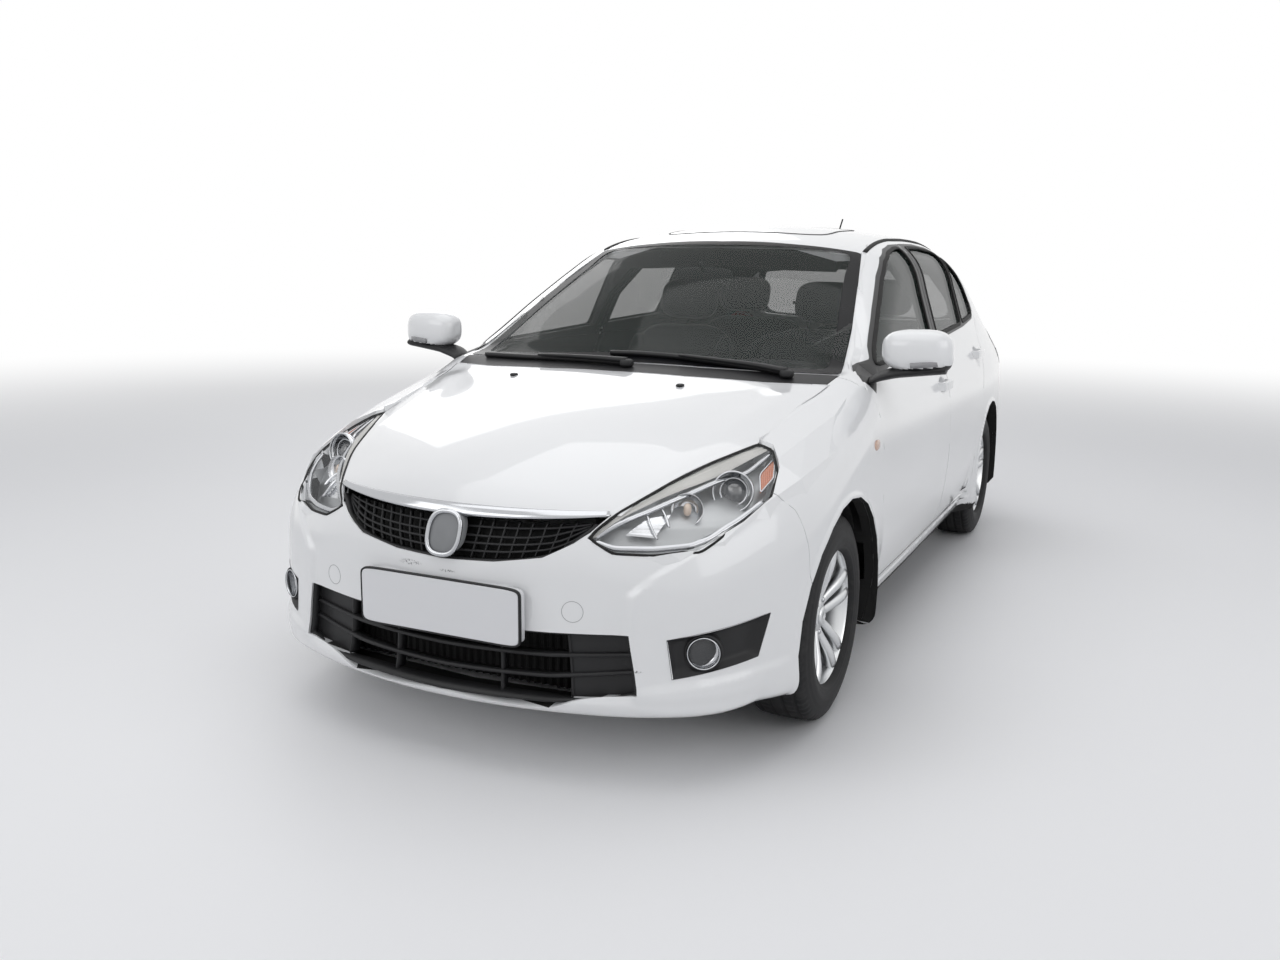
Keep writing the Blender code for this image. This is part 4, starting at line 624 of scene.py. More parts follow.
# A CAD panel with its outer face drawn again on the smooth skin, so deep under it, and with the
# skin's own normals, so that reflections run on from panel to panel; back is a pane's inner face
def smoothPanel(name, depth=0.0, back=None, edge=None, proud=0.045, least=0.6):
    points, faces = nodeMesh(name)
    way, middle = faceWays(points, faces)
    facing = np.sum(way * wayOut(middle), axis=1)
    under = -skinDistance(middle)
    tags = np.full(len(faces), -1)
    sides = [(depth, 1)] + ([(back, -1)] if back is not None else [])
    likely = np.flatnonzero((facing > least) & (under < panelSizes["deepest"]) & (under > -proud))
    seen = openAir(middle[likely], way[likely])
    if proud > panelSizes["bold"]:
        seen |= under[likely] < -panelSizes["lift"]
    tags[likely[seen]] = 0
    if back is not None:
        tags[(facing < -panelSizes["facing"]) & (np.abs(under - back) < panelSizes["reach"])] = 1
    points, faces, tags = splitLong(points, faces, tags, edge or panelSizes["edge"])
    for k, (low, turn) in enumerate(sides):
        used = np.unique(faces[tags == k])
        points[used] = onto(points[used], -low)
    way, middle = faceWays(points, faces)
    normals = np.repeat(way, 3, axis=0)
    for k, (low, turn) in enumerate(sides):
        rows = np.flatnonzero(tags == k)
        places = (rows[:, None] * 3 + np.arange(3)).ravel()
        normals[places] = wayOut(points[faces[rows].ravel()]) * turn
    return points, faces, normals, tags


paintSizes = {"white": (0.77, 0.775, 0.78), "blackTrim": (0.012, 0.012, 0.013),
              "belt": [(-0.954, 0.990), (-0.918, 0.990), (-0.905, 0.925), (-0.80, 0.975), (-0.60, 0.994),
                       (-0.20, 1.008), (0.20, 1.024), (0.86, 1.050), (1.20, 1.072), (1.30, 1.110)],
              "frame": [(-0.954, 0.985), (-0.749, 1.022), (-0.689, 1.061), (-0.589, 1.118), (-0.489, 1.174),
                        (-0.384, 1.229), (-0.279, 1.283), (-0.129, 1.352), (-0.009, 1.385), (0.121, 1.403),
                        (0.331, 1.410), (0.571, 1.412), (0.811, 1.400), (0.951, 1.374), (1.051, 1.350),
                        (1.161, 1.300), (1.236, 1.234), (1.300, 1.145)],
              "scuffs": [((-0.10, -2.125, 0.553), 0.045, 0.010), ((0.02, -2.133, 0.545), 0.030, 0.006),
                         ((0.52, -2.03, 0.33), 0.020, 0.005)]}


# White paint with a clear coat and faint orange peel; small scuffs lie on the bumper
def makePaint(name, scuffed=False, white=paintSizes["white"]):
    g = Graph(name)
    tone = g.mixColor(g.noise(1.3, 2.0).band(0.3, 0.7), tuple(c * 0.985 for c in white), white)
    rough = g.noise(3.0, 2.0) * 0.05 + 0.28
    if scuffed:
        mark = None
        for place, long, tall in paintSizes["scuffs"]:
            offset = g.add("ShaderNodeVectorMath", {"operation": "SUBTRACT"}, {0: g.place(), 1: place})
            shape = g.add("ShaderNodeVectorMath", {"operation": "MULTIPLY"},
                          {0: offset, 1: (1 / long, 0.2 / long, 1 / tall)})
            far = g.add("ShaderNodeVectorMath", {"operation": "LENGTH"}, {0: shape}, 1)
            spot = (1 - far.band(0.2, 1.0)) * g.noise(160.0, 4.0, 0.7).band(0.47, 0.60)
            mark = spot if mark is None else mark + spot
        mark = mark.clamp()
        tone = g.mixColor(mark, tone, (0.10, 0.10, 0.105))
        rough = rough + mark * 0.3
    peel = g.bump(g.noise(420.0, 1.0), 0.03, 0.0004)
    return g.finish(Base_Color=tone, Roughness=rough, Coat_Weight=1.0, Coat_Roughness=0.04, Normal=peel)


# The doors' paint turns black above the belt line, where their window frames stand
def makeDoorPaint(name):
    g = Graph(name)
    y = g.along("Y")
    z = g.along("Z")
    black = None
    for edge, turn in (("belt", 1), ("frame", -1)):
        low, high = paintSizes[edge][0][0], paintSizes[edge][-1][0]
        ramp = [((a - low) / (high - low), (b - 0.9) / 0.6) for a, b in paintSizes[edge]]
        line = g.add("ShaderNodeValToRGB", {"ramp": ramp}, {"Fac": (y - low) / (high - low)})
        within = (((z - 0.9) / 0.6 - line) * turn).band(-0.001, 0.001)
        black = within if black is None else black * within
    white = paintSizes["white"]
    tone = g.mixColor(g.noise(1.3, 2.0).band(0.3, 0.7), tuple(c * 0.985 for c in white), white)
    tone = g.mixColor(black, tone, paintSizes["blackTrim"])
    grain = g.noise(700.0, 2.0) * black
    return g.finish(Base_Color=tone, Roughness=0.28 + black * 0.14, Coat_Weight=1 - black,
                    Coat_Roughness=0.04, Normal=g.bump(grain, 0.05, 0.0004))


# Moulded plastic: fine grain in two sizes and a slightly uneven sheen
def makePlastic(name, color, rough=0.5, grain=900.0, depth=0.25, index=1.34):
    g = Graph(name)
    fine = g.noise(grain, 3.0, 0.6)
    drift = g.noise(6.0, 3.0)
    tone = g.mixColor(drift.band(0.3, 0.7), color, tuple(c * 1.25 + 0.002 for c in color))
    return g.finish(Base_Color=tone, Roughness=rough + drift * 0.12 - 0.06 + fine * 0.06, IOR=index,
                    Normal=g.bump(fine, depth, 0.0004))


# Bright metal: a plated finish with faint streaks
def makeMetal(name, color, rough, streak=0.04, scale=60.0):
    g = Graph(name)
    drift = g.noise(scale, 4.0, 0.6)
    tone = g.mixColor(drift, tuple(c * 0.93 for c in color), color)
    return g.finish(Base_Color=tone, Metallic=1.0, Roughness=rough + drift * streak,
                    Normal=g.bump(drift, 0.03, 0.0003))


# Bare steel and castings under the car: patches of dust and dull rust
def makeSteel(name, color, rust):
    g = Graph(name)
    patch = g.noise(14.0, 6.0, 0.65).band(0.48, 0.68)
    grit = g.noise(240.0, 4.0, 0.7)
    tone = g.mixColor(patch, g.mixColor(grit, tuple(c * 0.7 for c in color), color), rust)
    return g.finish(Base_Color=tone, Metallic=0.6 - patch * 0.5, Roughness=0.42 + patch * 0.35 + grit * 0.1,
                    Normal=g.bump(grit + patch, 0.35, 0.001))


# Rubber: near black with dust in it
def makeRubber(name, color=(0.018, 0.018, 0.019)):
    g = Graph(name)
    dust = g.noise(34.0, 5.0, 0.65).band(0.45, 0.75)
    fine = g.noise(800.0, 2.0)
    tone = g.mixColor(dust * 0.35, color, (0.07, 0.068, 0.065))
    return g.finish(Base_Color=tone, Roughness=0.62 + dust * 0.15, IOR=1.3,
                    Normal=g.bump(fine + dust * 0.4, 0.18, 0.0005))


# Tinted panes and clear lenses: a see-through sheet whose gloss follows its index
def makeGlass(name, color, alpha, index=2.4):
    g = Graph(name)
    film = g.noise(5.0, 3.0)
    tone = g.mixColor(film, tuple(c * 0.85 for c in color), color)
    return g.finish(Base_Color=tone, Roughness=0.004 + film * 0.004, IOR=index, Alpha=alpha)


# Woven seat cloth: two crossed sets of threads and a little fuzz
def makeCloth(name, color, light, scale=620.0):
    g = Graph(name)
    place = g.place()
    waves = []
    for direction in ("X", "Y", "Z"):
        wave = g.add("ShaderNodeTexWave", {"bands_direction": direction},
                     {"Vector": place, "Scale": scale / 6.0, "Distortion": 0.6, "Detail": 1.0}, 1)
        waves.append(wave)
    weave = waves[0] * waves[2] + waves[1] * 0.5
    fuzz = g.noise(90.0, 5.0, 0.7)
    tone = g.mixColor(weave * 0.5 + fuzz * 0.3, color, light)
    return g.finish(Base_Color=tone, Roughness=0.88 + fuzz * 0.08, Sheen_Weight=0.35, Sheen_Roughness=0.5,
                    Normal=g.bump(weave + fuzz * 0.5, 0.35, 0.0008))


# Lens plastic with fine flutes seen inside it
def makeLens(name, color, flutes=0.0, index=1.8):
    g = Graph(name)
    wave = g.add("ShaderNodeTexWave", {"bands_direction": "Z"},
                 {"Vector": g.place(), "Scale": 90.0, "Distortion": 0.0}, 1)
    drift = g.noise(12.0, 3.0)
    tone = g.mixColor(wave * flutes + drift * 0.2, color, tuple(c * 0.45 for c in color))
    return g.finish(Base_Color=tone, Roughness=0.06 + drift * 0.03, IOR=index, Coat_Weight=0.6,
                    Coat_Roughness=0.02, Normal=g.bump(wave, flutes * 0.5, 0.001))


look = {
    "paint": makePaint("whitePaint"),
    "bumperPaint": makePaint("bumperPaint", True),
    "doorPaint": makeDoorPaint("doorPaint"),
    "plastic": makePlastic("blackPlastic", (0.016, 0.016, 0.017), 0.42),
    "gloss": makePlastic("blackGloss", (0.005, 0.005, 0.006), 0.22, 500.0, 0.03, 1.18),
    "trim": makePlastic("cabinPlastic", (0.016, 0.017, 0.018), 0.6, 500.0, 0.4),
    "liner": makePlastic("wheelLiner", (0.012, 0.012, 0.012), 0.8, 200.0, 0.5),
    "gasket": makeRubber("gasketRubber", (0.010, 0.010, 0.010)),
    "rubber": makeRubber("tyreRubber"),
    "chrome": makeMetal("brightChrome", (0.50, 0.51, 0.53), 0.10, 0.05),
    "alloy": makeMetal("silverAlloy", (0.70, 0.71, 0.72), 0.26, 0.08, 220.0),
    "reflector": makeMetal("lampReflector", (0.62, 0.63, 0.65), 0.12, 0.10, 40.0),
    "disc": makeMetal("brakeDisc", (0.45, 0.45, 0.46), 0.32, 0.15, 90.0),
    "steel": makeSteel("chassisSteel", (0.16, 0.16, 0.165), (0.12, 0.065, 0.035)),
    "cast": makeSteel("castMetal", (0.30, 0.30, 0.30), (0.14, 0.12, 0.10)),
    "glass": makeGlass("greenGlass", (0.020, 0.034, 0.029), 0.42, 1.8),
    "screen": makeGlass("screenGlass", (0.016, 0.026, 0.022), 0.26, 1.36),
    "lens": makeGlass("clearLens", (0.55, 0.57, 0.59), 0.10, 2.6),
    "darkLens": makeLens("projectorLens", (0.05, 0.052, 0.056), 0.0, 1.9),
    "stripLens": makeLens("indicatorLens", (0.34, 0.34, 0.35), 0.7, 1.4),
    "sideLens": makeLens("sideLampLens", (0.72, 0.46, 0.34), 0.5, 1.7),
    "lampShell": makeMetal("lampShell", (0.40, 0.41, 0.42), 0.30, 0.20, 30.0),
    "lampUpper": makePlastic("lampUpper", (0.50, 0.49, 0.46), 0.30, 300.0, 0.05),
    "seam": makePlastic("seamShade", (0.30, 0.30, 0.31), 0.6),
    "redLens": makeLens("redLens", (0.24, 0.004, 0.005), 0.5, 1.34),
    "amber": makeLens("amberLens", (0.70, 0.15, 0.015), 0.7, 1.4),
    "bulb": makeLens("bulbGlass", (0.80, 0.62, 0.48), 0.0),
    "bezel": makePlastic("lampBezel", (0.20, 0.205, 0.21), 0.35, 300.0, 0.05),
    "mesh": makePlastic("radiatorDark", (0.006, 0.006, 0.006), 0.7, 300.0, 0.3),
    "cloth": makeCloth("seatCloth", (0.011, 0.012, 0.013), (0.040, 0.042, 0.046)),
    "plate": makePaint("platePaint", False, (0.68, 0.685, 0.70)),
    "mirror": makeMetal("mirrorGlass", (0.75, 0.77, 0.78), 0.02, 0.01),
}
print("materials made")

sides = (("left", 1), ("right", -1))


def addPanel(name, node, finish, body, slot, depth=0.0, back=None, edge=None, proud=0.045, least=0.6):
    points, faces, normals, tags = smoothPanel(node, depth, back, edge, proud, least)
    middle = points[faces].mean(axis=1)
    s = panelSizes
    outer = fromAxle(middle[:, 1], middle[:, 2]) > skin["archRadius"] + s["archGap"]
    rim = (skinDistance(middle) > -s["rimDepth"]) & outer
    low = (middle[:, 2] < s["floorTop"]) & (node == "body_shell")
    inner = 1 if isinstance(finish, tuple) else 0
    which = np.where(((tags >= 0) | rim) & ~low, 0, inner)
    piece = addMesh(name, points, faces, finish, body, slot, True, which, normals)
    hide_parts(node)
    return piece


addPanel("bodyPanels", "body_shell", ("paint", "liner"), "body", "white_paint")
addPanel("bonnetPanel", "bonnet", "paint", "bonnet", "white_paint", edge=0.020)
addPanel("frontBumper", "front_bumper", ("bumperPaint", "liner"), "body", "white_paint", edge=0.012,
         least=0.5)
addPanel("rearBumper", "rear_bumper", ("paint", "liner"), "body", "white_paint")
addPanel("tailgatePanel", "tailgate", "paint", "tailgate", "white_paint")
addPanel("tailgatePane", "tailgate_glass", "glass", "tailgate", "clear_glass", 0.006, 0.012)
addPanel("screenPane", "windscreen", "screen", "body", "clear_glass", 0.0, 0.006)
addPanel("cowlPanel", "cowl", "plastic", "body", "black_plastic")
for side, sign in sides:
    addPanel("fender_" + side, "fender_" + side, ("paint", "liner"), "body", "white_paint", edge=0.018)
    addPanel("tailLens_" + side, "tail_lamp_" + side, "redLens", "body", "red_lens", edge=0.02)
    for row in ("front", "rear"):
        body = "door_" + row + "_" + side
        addPanel("doorPanel_" + row + "_" + side, body, ("doorPaint", "trim"), body, "white_paint",
                 edge=0.017, proud=0.022)
        addPanel("doorPane_" + row + "_" + side, "glass_" + row + "_" + side, "glass", body, "clear_glass",
                 0.006, 0.012)
    addPanel("quarterPane_" + side, "quarter_glass_" + side, "glass", "door_rear_" + side, "clear_glass",
             0.006, 0.012)
print("panels drawn on the skin")

# Outlines on the body, at each point with the way out of the skin
outlines = {
    "frontWindow": [(-0.749, 1.005), (-0.689, 1.045), (-0.489, 1.158), (-0.279, 1.268), (-0.129, 1.338),
                    (-0.009, 1.372), (0.121, 1.39), (0.206, 1.393), (0.156, 1.2), (0.126, 1.04),
                    (-0.229, 1.025)],
    "rearWindow": [(0.246, 1.045), (0.276, 1.2), (0.331, 1.395), (0.571, 1.397), (0.811, 1.385),
                   (0.911, 1.368), (0.871, 1.2), (0.831, 1.066)],
    "quarterWindow": [(0.876, 1.07), (0.916, 1.2), (0.956, 1.358), (1.051, 1.335), (1.161, 1.283),
                      (1.236, 1.215), (1.261, 1.15), (1.226, 1.088)],
    "windscreen": [(0, -1.034), (0.25, -1.019), (0.5, -0.984), (0.7, -0.934), (0.655, -0.649), (0.6, -0.389),
                   (0.545, -0.149), (0.3, -0.179), (0, -0.194)],
    "tailLamp": [(0.72, 1.771, 1.06), (0.79, 1.661, 0.955), (0.8, 1.731, 0.83), (0.76, 1.901, 0.745),
                 (0.69, 2.011, 0.73), (0.62, 2.051, 0.775), (0.622, 2.021, 0.93), (0.628, 1.961, 1.05),
                 (0.66, 1.871, 1.09)],
    "rearPane": [(0, 1.015), (0.4, 1.02), (0.535, 1.035), (0.55, 1.08), (0.52, 1.2), (0.475, 1.29),
                 (0.25, 1.312), (0, 1.318)],
}


# A line on the skin through places given as seen from one side: (y, z), (x, y) or (x, z)
def onBody(places, view, outside=0.0):
    a, b = np.asarray(places, float).T
    if view == "top":
        p = atTop(np.abs(a), b)
        p[:, 0] = a
    else:
        p = {"side": atSide, "nose": atNose, "tail": atTail}[view](a, b)
    return onto(p, outside)


stripSizes = {"ditch": 0.018, "ditchHigh": 0.005, "seal": (0.016, 0.0035), "sealSink": 0.004,
              "border": 0.052, "borderTop": (-0.25, 0.040), "borderFoot": (-0.92, 0.062),
              "borderLift": 0.0022,
              "line": [(0.553, -0.130), (0.549, 0.10), (0.545, 0.60), (0.540, 1.10), (0.535, 1.45)]}


# The windscreen's black border, wider at its foot and narrower at its top
def makeScreenBorder():
    line = outlines["windscreen"]
    half = spaced(line, 0.03)
    full = np.concatenate([half, half[::-1][1:-1] * [-1, 1]])
    full = spaced(full, 0.022, True)
    middle = full.mean(axis=0)
    inward = unit(middle - full)
    width = np.full(len(full), stripSizes["border"])
    width[full[:, 1] > stripSizes["borderTop"][0]] = stripSizes["borderTop"][1]
    width[full[:, 1] < stripSizes["borderFoot"][0]] = stripSizes["borderFoot"][1]
    width = softened(width[:, None], 4, True)[:, 0]
    inner = softened(full + inward * width[:, None], 3, True)
    rows = [full * (1 - t) + inner * t for t in np.linspace(0, 1, 8)]
    points = np.stack([onBody(row, "top", stripSizes["borderLift"]) for row in rows], 1).reshape(-1, 3)
    faces = gridFaces(len(full), 8, True, False)
    border = addMesh("screenBorder", points, faces, "gloss", "body", "black_plastic")
    way = border.data.polygons[0].normal
    if way.z < 0:
        border.data.flip_normals()


# Black rubber round each side window, and the ditch strips along the roof
def makeWindowTrim():
    for side, sign in sides:
        for name, row in (("frontWindow", "front"), ("rearWindow", "rear"), ("quarterWindow", "rear")):
            path = spaced(softened(spaced(outlines[name], 0.012, True), 3, True), 0.014, True)
            shape = sweepOn(path, "side", sign, *stripSizes["seal"], True, stripSizes["sealSink"])
            addMesh(name + "Seal_" + side, *shape, "gasket", "door_" + row + "_" + side, "black_plastic")
        path = softened(spaced(stripSizes["line"], 0.03), 4)
        shape = sweepOn(path, "top", sign, stripSizes["ditch"], stripSizes["ditchHigh"])
        addMesh("roofStrip_" + side, *shape, "gasket", "body", "black_plastic")


# The section is carried on the skin; the left side's is mirrored for the right
def sweepOn(places, view, sign, width, height, closed=False, sink=0.002):
    path = onBody(places, view)
    section = [(-width / 2, -sink), (-width / 2, height * 0.5), (-width / 4, height), (width / 4, height),
               (width / 2, height * 0.5), (width / 2, -sink)]
    shape = sweep(path, wayOut(path), section, closed)
    return onSide(sign, shape)


makeScreenBorder()
makeWindowTrim()
print("window trim made")

noseSizes = {
    "low": [(0.0, 0.578), (0.15, 0.585), (0.28, 0.606), (0.352, 0.645), (0.400, 0.690)], "top": 0.720,
    "stripTall": 0.034, "bars": (0.22, 0.42, 0.62, 0.82), "lean": 0.020,
    "ribs": (0.086, 0.122, 0.158, 0.194, 0.230, 0.266, 0.302, 0.338),
    "sink": 0.016, "badge": (0.012, 0.646), "badgeSize": (0.048, 0.055),
    "barHalf": 0.385, "coreHalf": 0.40, "coreSink": 0.040, "stripHalf": 0.418, "nearLamp": 0.42,
}
grilleLow = lineThrough(noseSizes["low"])


# Height in the upper opening at a share from its lower edge to the strip's lower edge
def grilleZ(x, share):
    low = grilleLow(np.abs(x))
    high = noseSizes["top"] - noseSizes["stripTall"] * (1 - 0.5 * (x / noseSizes["nearLamp"])**2)
    return low + (high - low) * share


def addUpperGrille():
    s = noseSizes
    x = np.linspace(-s["barHalf"], s["barHalf"], 61)
    shapes = []
    for share in s["bars"]:
        path = onto(atNose(x, grilleZ(x, share)), -s["sink"])
        shapes.append(sweep(path, wayOut(path),
                            [(-0.003, -0.014), (0.003, -0.014), (0.003, -0.002), (0, 0.0), (-0.003, -0.002)]))
    for place in s["ribs"]:
        for sign in (-1, 1):
            t = np.linspace(0, 1, 14)
            rx = sign * (place + s["lean"] * (t - 0.5) + 0.010 * t * (1 - t))
            path = onto(atNose(rx, grilleZ(rx, t)), -s["sink"] - 0.001)
            shapes.append(sweep(path, wayOut(path), flatTop(0.0025, 0.012, 0.0015, 0.0)))
    grille = addMesh("grilleBars", *joined(*shapes), "plastic", "body", "black_plastic")
    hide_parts("upper_grille")
    # the dark core and the surround, a strip that follows the opening's lower edge
    xs = np.linspace(-s["coreHalf"], s["coreHalf"], 41)
    rows = [onto(atNose(xs, grilleZ(xs, share)), -s["coreSink"]) for share in (-0.08, 0.3, 0.7, 1.08)]
    points = np.stack(rows, 0).reshape(-1, 3)
    addMesh("grilleCore", points, gridFaces(4, 41), "mesh", "body", "black_plastic")
    low = onto(atNose(xs, grilleZ(xs, 0.0)), -0.006)
    edge = sweep(low, wayOut(low), [(-0.004, -0.020), (0.006, -0.020), (0.004, 0.003), (-0.004, 0.003)])
    addMesh("grilleEdge", *edge, "plastic", "body", "black_plastic")
    # the bright strip along the bonnet's edge, from lamp to lamp
    x = np.linspace(-s["stripHalf"], s["stripHalf"], 81)
    tall = s["stripTall"] * (1 - 0.5 * (x / s["nearLamp"])**2)
    middle = onto(atNose(x, s["top"] - tall / 2), 0.001)
    section = [(-0.50, -0.25), (-0.50, 0.02), (-0.36, 0.18), (-0.10, 0.24), (0.16, 0.16), (0.40, 0.20),
               (0.50, 0.06), (0.50, -0.25)]
    strip = sweep(middle, wayOut(middle), section, False, tall)
    addMesh("grilleStrip", *strip, "chrome", "body", "black_plastic")


# A bare badge: a bright ring round a plain oval, leaning with the bonnet's edge
def addBadge():
    s = noseSizes
    cx, cz = s["badge"]
    rx, rz = softSquare(2 * s["badgeSize"][0], 2 * s["badgeSize"][1], 2.6, 56).T
    lean = 0.10 * rz
    ring = np.stack([cx + rx + lean, np.full_like(rx, -2.1175), cz + rz], -1)
    ring[:, 1] = atNose(np.array([cx]), np.array([cz]))[0, 1] - 0.010 + (ring[:, 2] - cz) * 0.22
    front = np.array([0, -1.0, 0.12])
    addMesh("badgeRing", *sweep(ring, front, roundSection(0.0065, 10, 0.8), True), "chrome",
            "body", "black_plastic")
    share = np.linspace(0.02, 1, 8)
    disc = np.stack([np.array([cx, 0, cz]) + (ring - np.array([cx, 0, cz])) * [k, 1, k] for k in share], 0)
    share = share[:, None]
    depth = ring[None, :, 1] * share + (1 - share) * ring[:, 1].mean()
    disc[:, :, 1] = depth + 0.004 - 0.003 * (1 - share**2)
    points, faces = disc.reshape(-1, 3), gridFaces(8, 56, False, True)
    back = disc[-1] + [0, 0.030, 0]
    points = np.concatenate([points, back])
    faces = faces + gridFaces(2, 56, False, True, 7 * 56) + [list(range(56))]
    merged(addMesh("badgeDisc", points, faces, "bezel", "body", "black_plastic"))


intakeSizes = {
    "top": [(0.0, 0.412), (0.3, 0.414), (0.5, 0.420)], "low": [(0.0, 0.228), (0.3, 0.236), (0.523, 0.268)],
    "half": (0.520, 0.498), "slats": (0.34, 0.63), "sink": 0.018, "fins": 40,
}


# Height in the lower opening, whose edges run straight from corner to corner
def intakeZ(x, share):
    low, high = [np.interp(np.abs(x), *np.array(intakeSizes[name]).T) for name in ("low", "top")]
    return low + (high - low) * share


def intakePoint(u, share, outside):
    half = intakeSizes["half"][0] + (intakeSizes["half"][1] - intakeSizes["half"][0]) * share
    x = u * half
    return onto(atNose(x, intakeZ(x, share)), outside)


def addLowerGrille():
    s = intakeSizes
    u = np.linspace(-1, 1, 71)
    shapes = []
    for share in s["slats"]:
        path = intakePoint(u, np.full_like(u, share), -s["sink"])
        shapes.append(sweep(path, wayOut(path),
                            [(-0.005, -0.034), (0.004, -0.034), (0.006, -0.006), (0.003, 0.0),
                                                 (-0.004, -0.001), (-0.006, -0.006)]))
    t = np.linspace(0, 1, 12)
    for place in (-0.70, -0.33, 0.33, 0.70):
        path = intakePoint(np.full_like(t, place), t, -s["sink"] - 0.006)
        shapes.append(sweep(path, wayOut(path), flatTop(0.004, 0.030, 0.003, 0.0)))
    for sign in (-1, 1):
        uu = np.linspace(0.70, 1.0, 12) * sign
        grid = [intakePoint(uu, np.full_like(uu, k), -s["sink"] - 0.010) for k in np.linspace(0, 1, 10)]
        faces = gridFaces(10, 12)
        shapes.append((np.stack(grid, 0).reshape(-1, 3), faces if sign > 0 else [f[::-1] for f in faces]))
    rim = np.concatenate([np.stack([u, np.zeros_like(u)], -1),
                          np.stack([np.ones(14), np.linspace(0, 1, 14)], -1)[1:],
                          np.stack([u[::-1], np.ones_like(u)], -1)[1:],
                          np.stack([-np.ones(14), np.linspace(1, 0, 14)], -1)[1:-1]])
    path = intakePoint(rim[:, 0], rim[:, 1], -0.008)
    shapes.append(sweep(path, wayOut(path), flatTop(0.004, 0.034, 0.004, 0.002), True))
    grille = addMesh("intakeSlats", *joined(*shapes), "plastic", "body", "black_plastic")
    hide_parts("lower_grille")
    # the cooler behind, with upright fins
    x = np.linspace(-0.46, 0.46, s["fins"] * 4 + 1)
    wave = 0.004 * np.sign(np.sin(np.arange(len(x)) * math.pi / 2 + 0.1))
    z = np.array([0.225, 0.30, 0.36, 0.43])
    grid = np.stack([np.stack([x, -1.985 + wave + 0.10 * x**2, np.full_like(x, k)], -1) for k in z], 0)
    addMesh("cooler", grid.reshape(-1, 3), gridFaces(4, len(x)), "mesh", "body", "black_plastic", False)


fogSizes = {"corners": [(0.585, 0.413), (0.781, 0.452), (0.762, 0.341), (0.598, 0.309)], "depth": 0.020,
            "at": (0.666, 0.373), "radius": 0.043, "way": (0.42, -0.90, 0.0), "sink": 0.016,
            "housing": [(1.02, 0.014), (1.02, -0.03), (1.16, -0.03), (1.16, 0.006), (1.10, 0.014)],
            "ring": [(0.98, 0.010), (0.99, 0.016), (0.95, 0.019), (0.90, 0.016), (0.89, 0.006),
                     (0.95, 0.004)],
            "bowl": [(0.90, 0.006), (0.72, -0.018), (0.40, -0.030), (0.02, -0.034), (0.02, -0.036),
                     (0.92, -0.034)]}


# A wedge let into the bumper: its depth eases from nothing at the rim to full inside
def addFogLamps():
    s = fogSizes
    u = np.concatenate([[0, 0.02, 0.06], np.linspace(0.12, 0.88, 20), [0.94, 0.98, 1]])
    v = np.concatenate([[0, 0.04, 0.10], np.linspace(0.18, 0.82, 10), [0.90, 0.96, 1]])
    uu, vv = np.meshgrid(u, v, indexing="ij")
    tl, tr, br, bl = [np.array(c) for c in s["corners"]]
    place = ((tl * (1 - uu)[..., None] + tr * uu[..., None]) * (1 - vv)[..., None]
             + (bl * (1 - uu)[..., None] + br * uu[..., None]) * vv[..., None]).reshape(-1, 2)
    near = np.minimum(np.minimum(uu, 1 - uu) / 0.07, np.minimum(vv, 1 - vv) / 0.14).ravel()
    base = atNose(place[:, 0], place[:, 1])
    points = onto(base, 0.0)
    points = points - wayOut(points) * (s["depth"] * ease(0, 1, near) - 0.001)[:, None]
    wedge = (points, [f[::-1] for f in gridFaces(len(u), len(v))])
    centre = onto(atNose([s["at"][0]], [s["at"][1]]), -s["sink"])[0]
    axis = unit(np.array(s["way"]))
    r = s["radius"]
    housing, ring, bowl = [turned(np.array(s[name]) * [r, 1], centre, axis, 56) for name in ("housing",
                                                                                             "ring", "bowl")]
    lens = dome(centre + axis * 0.006, axis, r * 0.90, 0.010)
    bulb = dome(centre - axis * 0.030, axis, r * 0.24, 0.016, 20, 6)
    for side, sign in sides:
        panel = addMesh("fogPanel_" + side, *onSide(sign, joined(wedge, housing)), "plastic", "body",
                        "black_plastic")
        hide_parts("fog_lamp_" + side)
        addMesh("fogRing_" + side, *onSide(sign, ring), "chrome", "body", "lamp_glass")
        addMesh("fogBowl_" + side, *onSide(sign, bowl), "reflector", "body", "lamp_glass")
        addMesh("fogLens_" + side, *onSide(sign, lens), "lens", "body", "lamp_glass")
        addMesh("fogBulb_" + side, *onSide(sign, bulb), "bulb", "body", "lamp_glass")


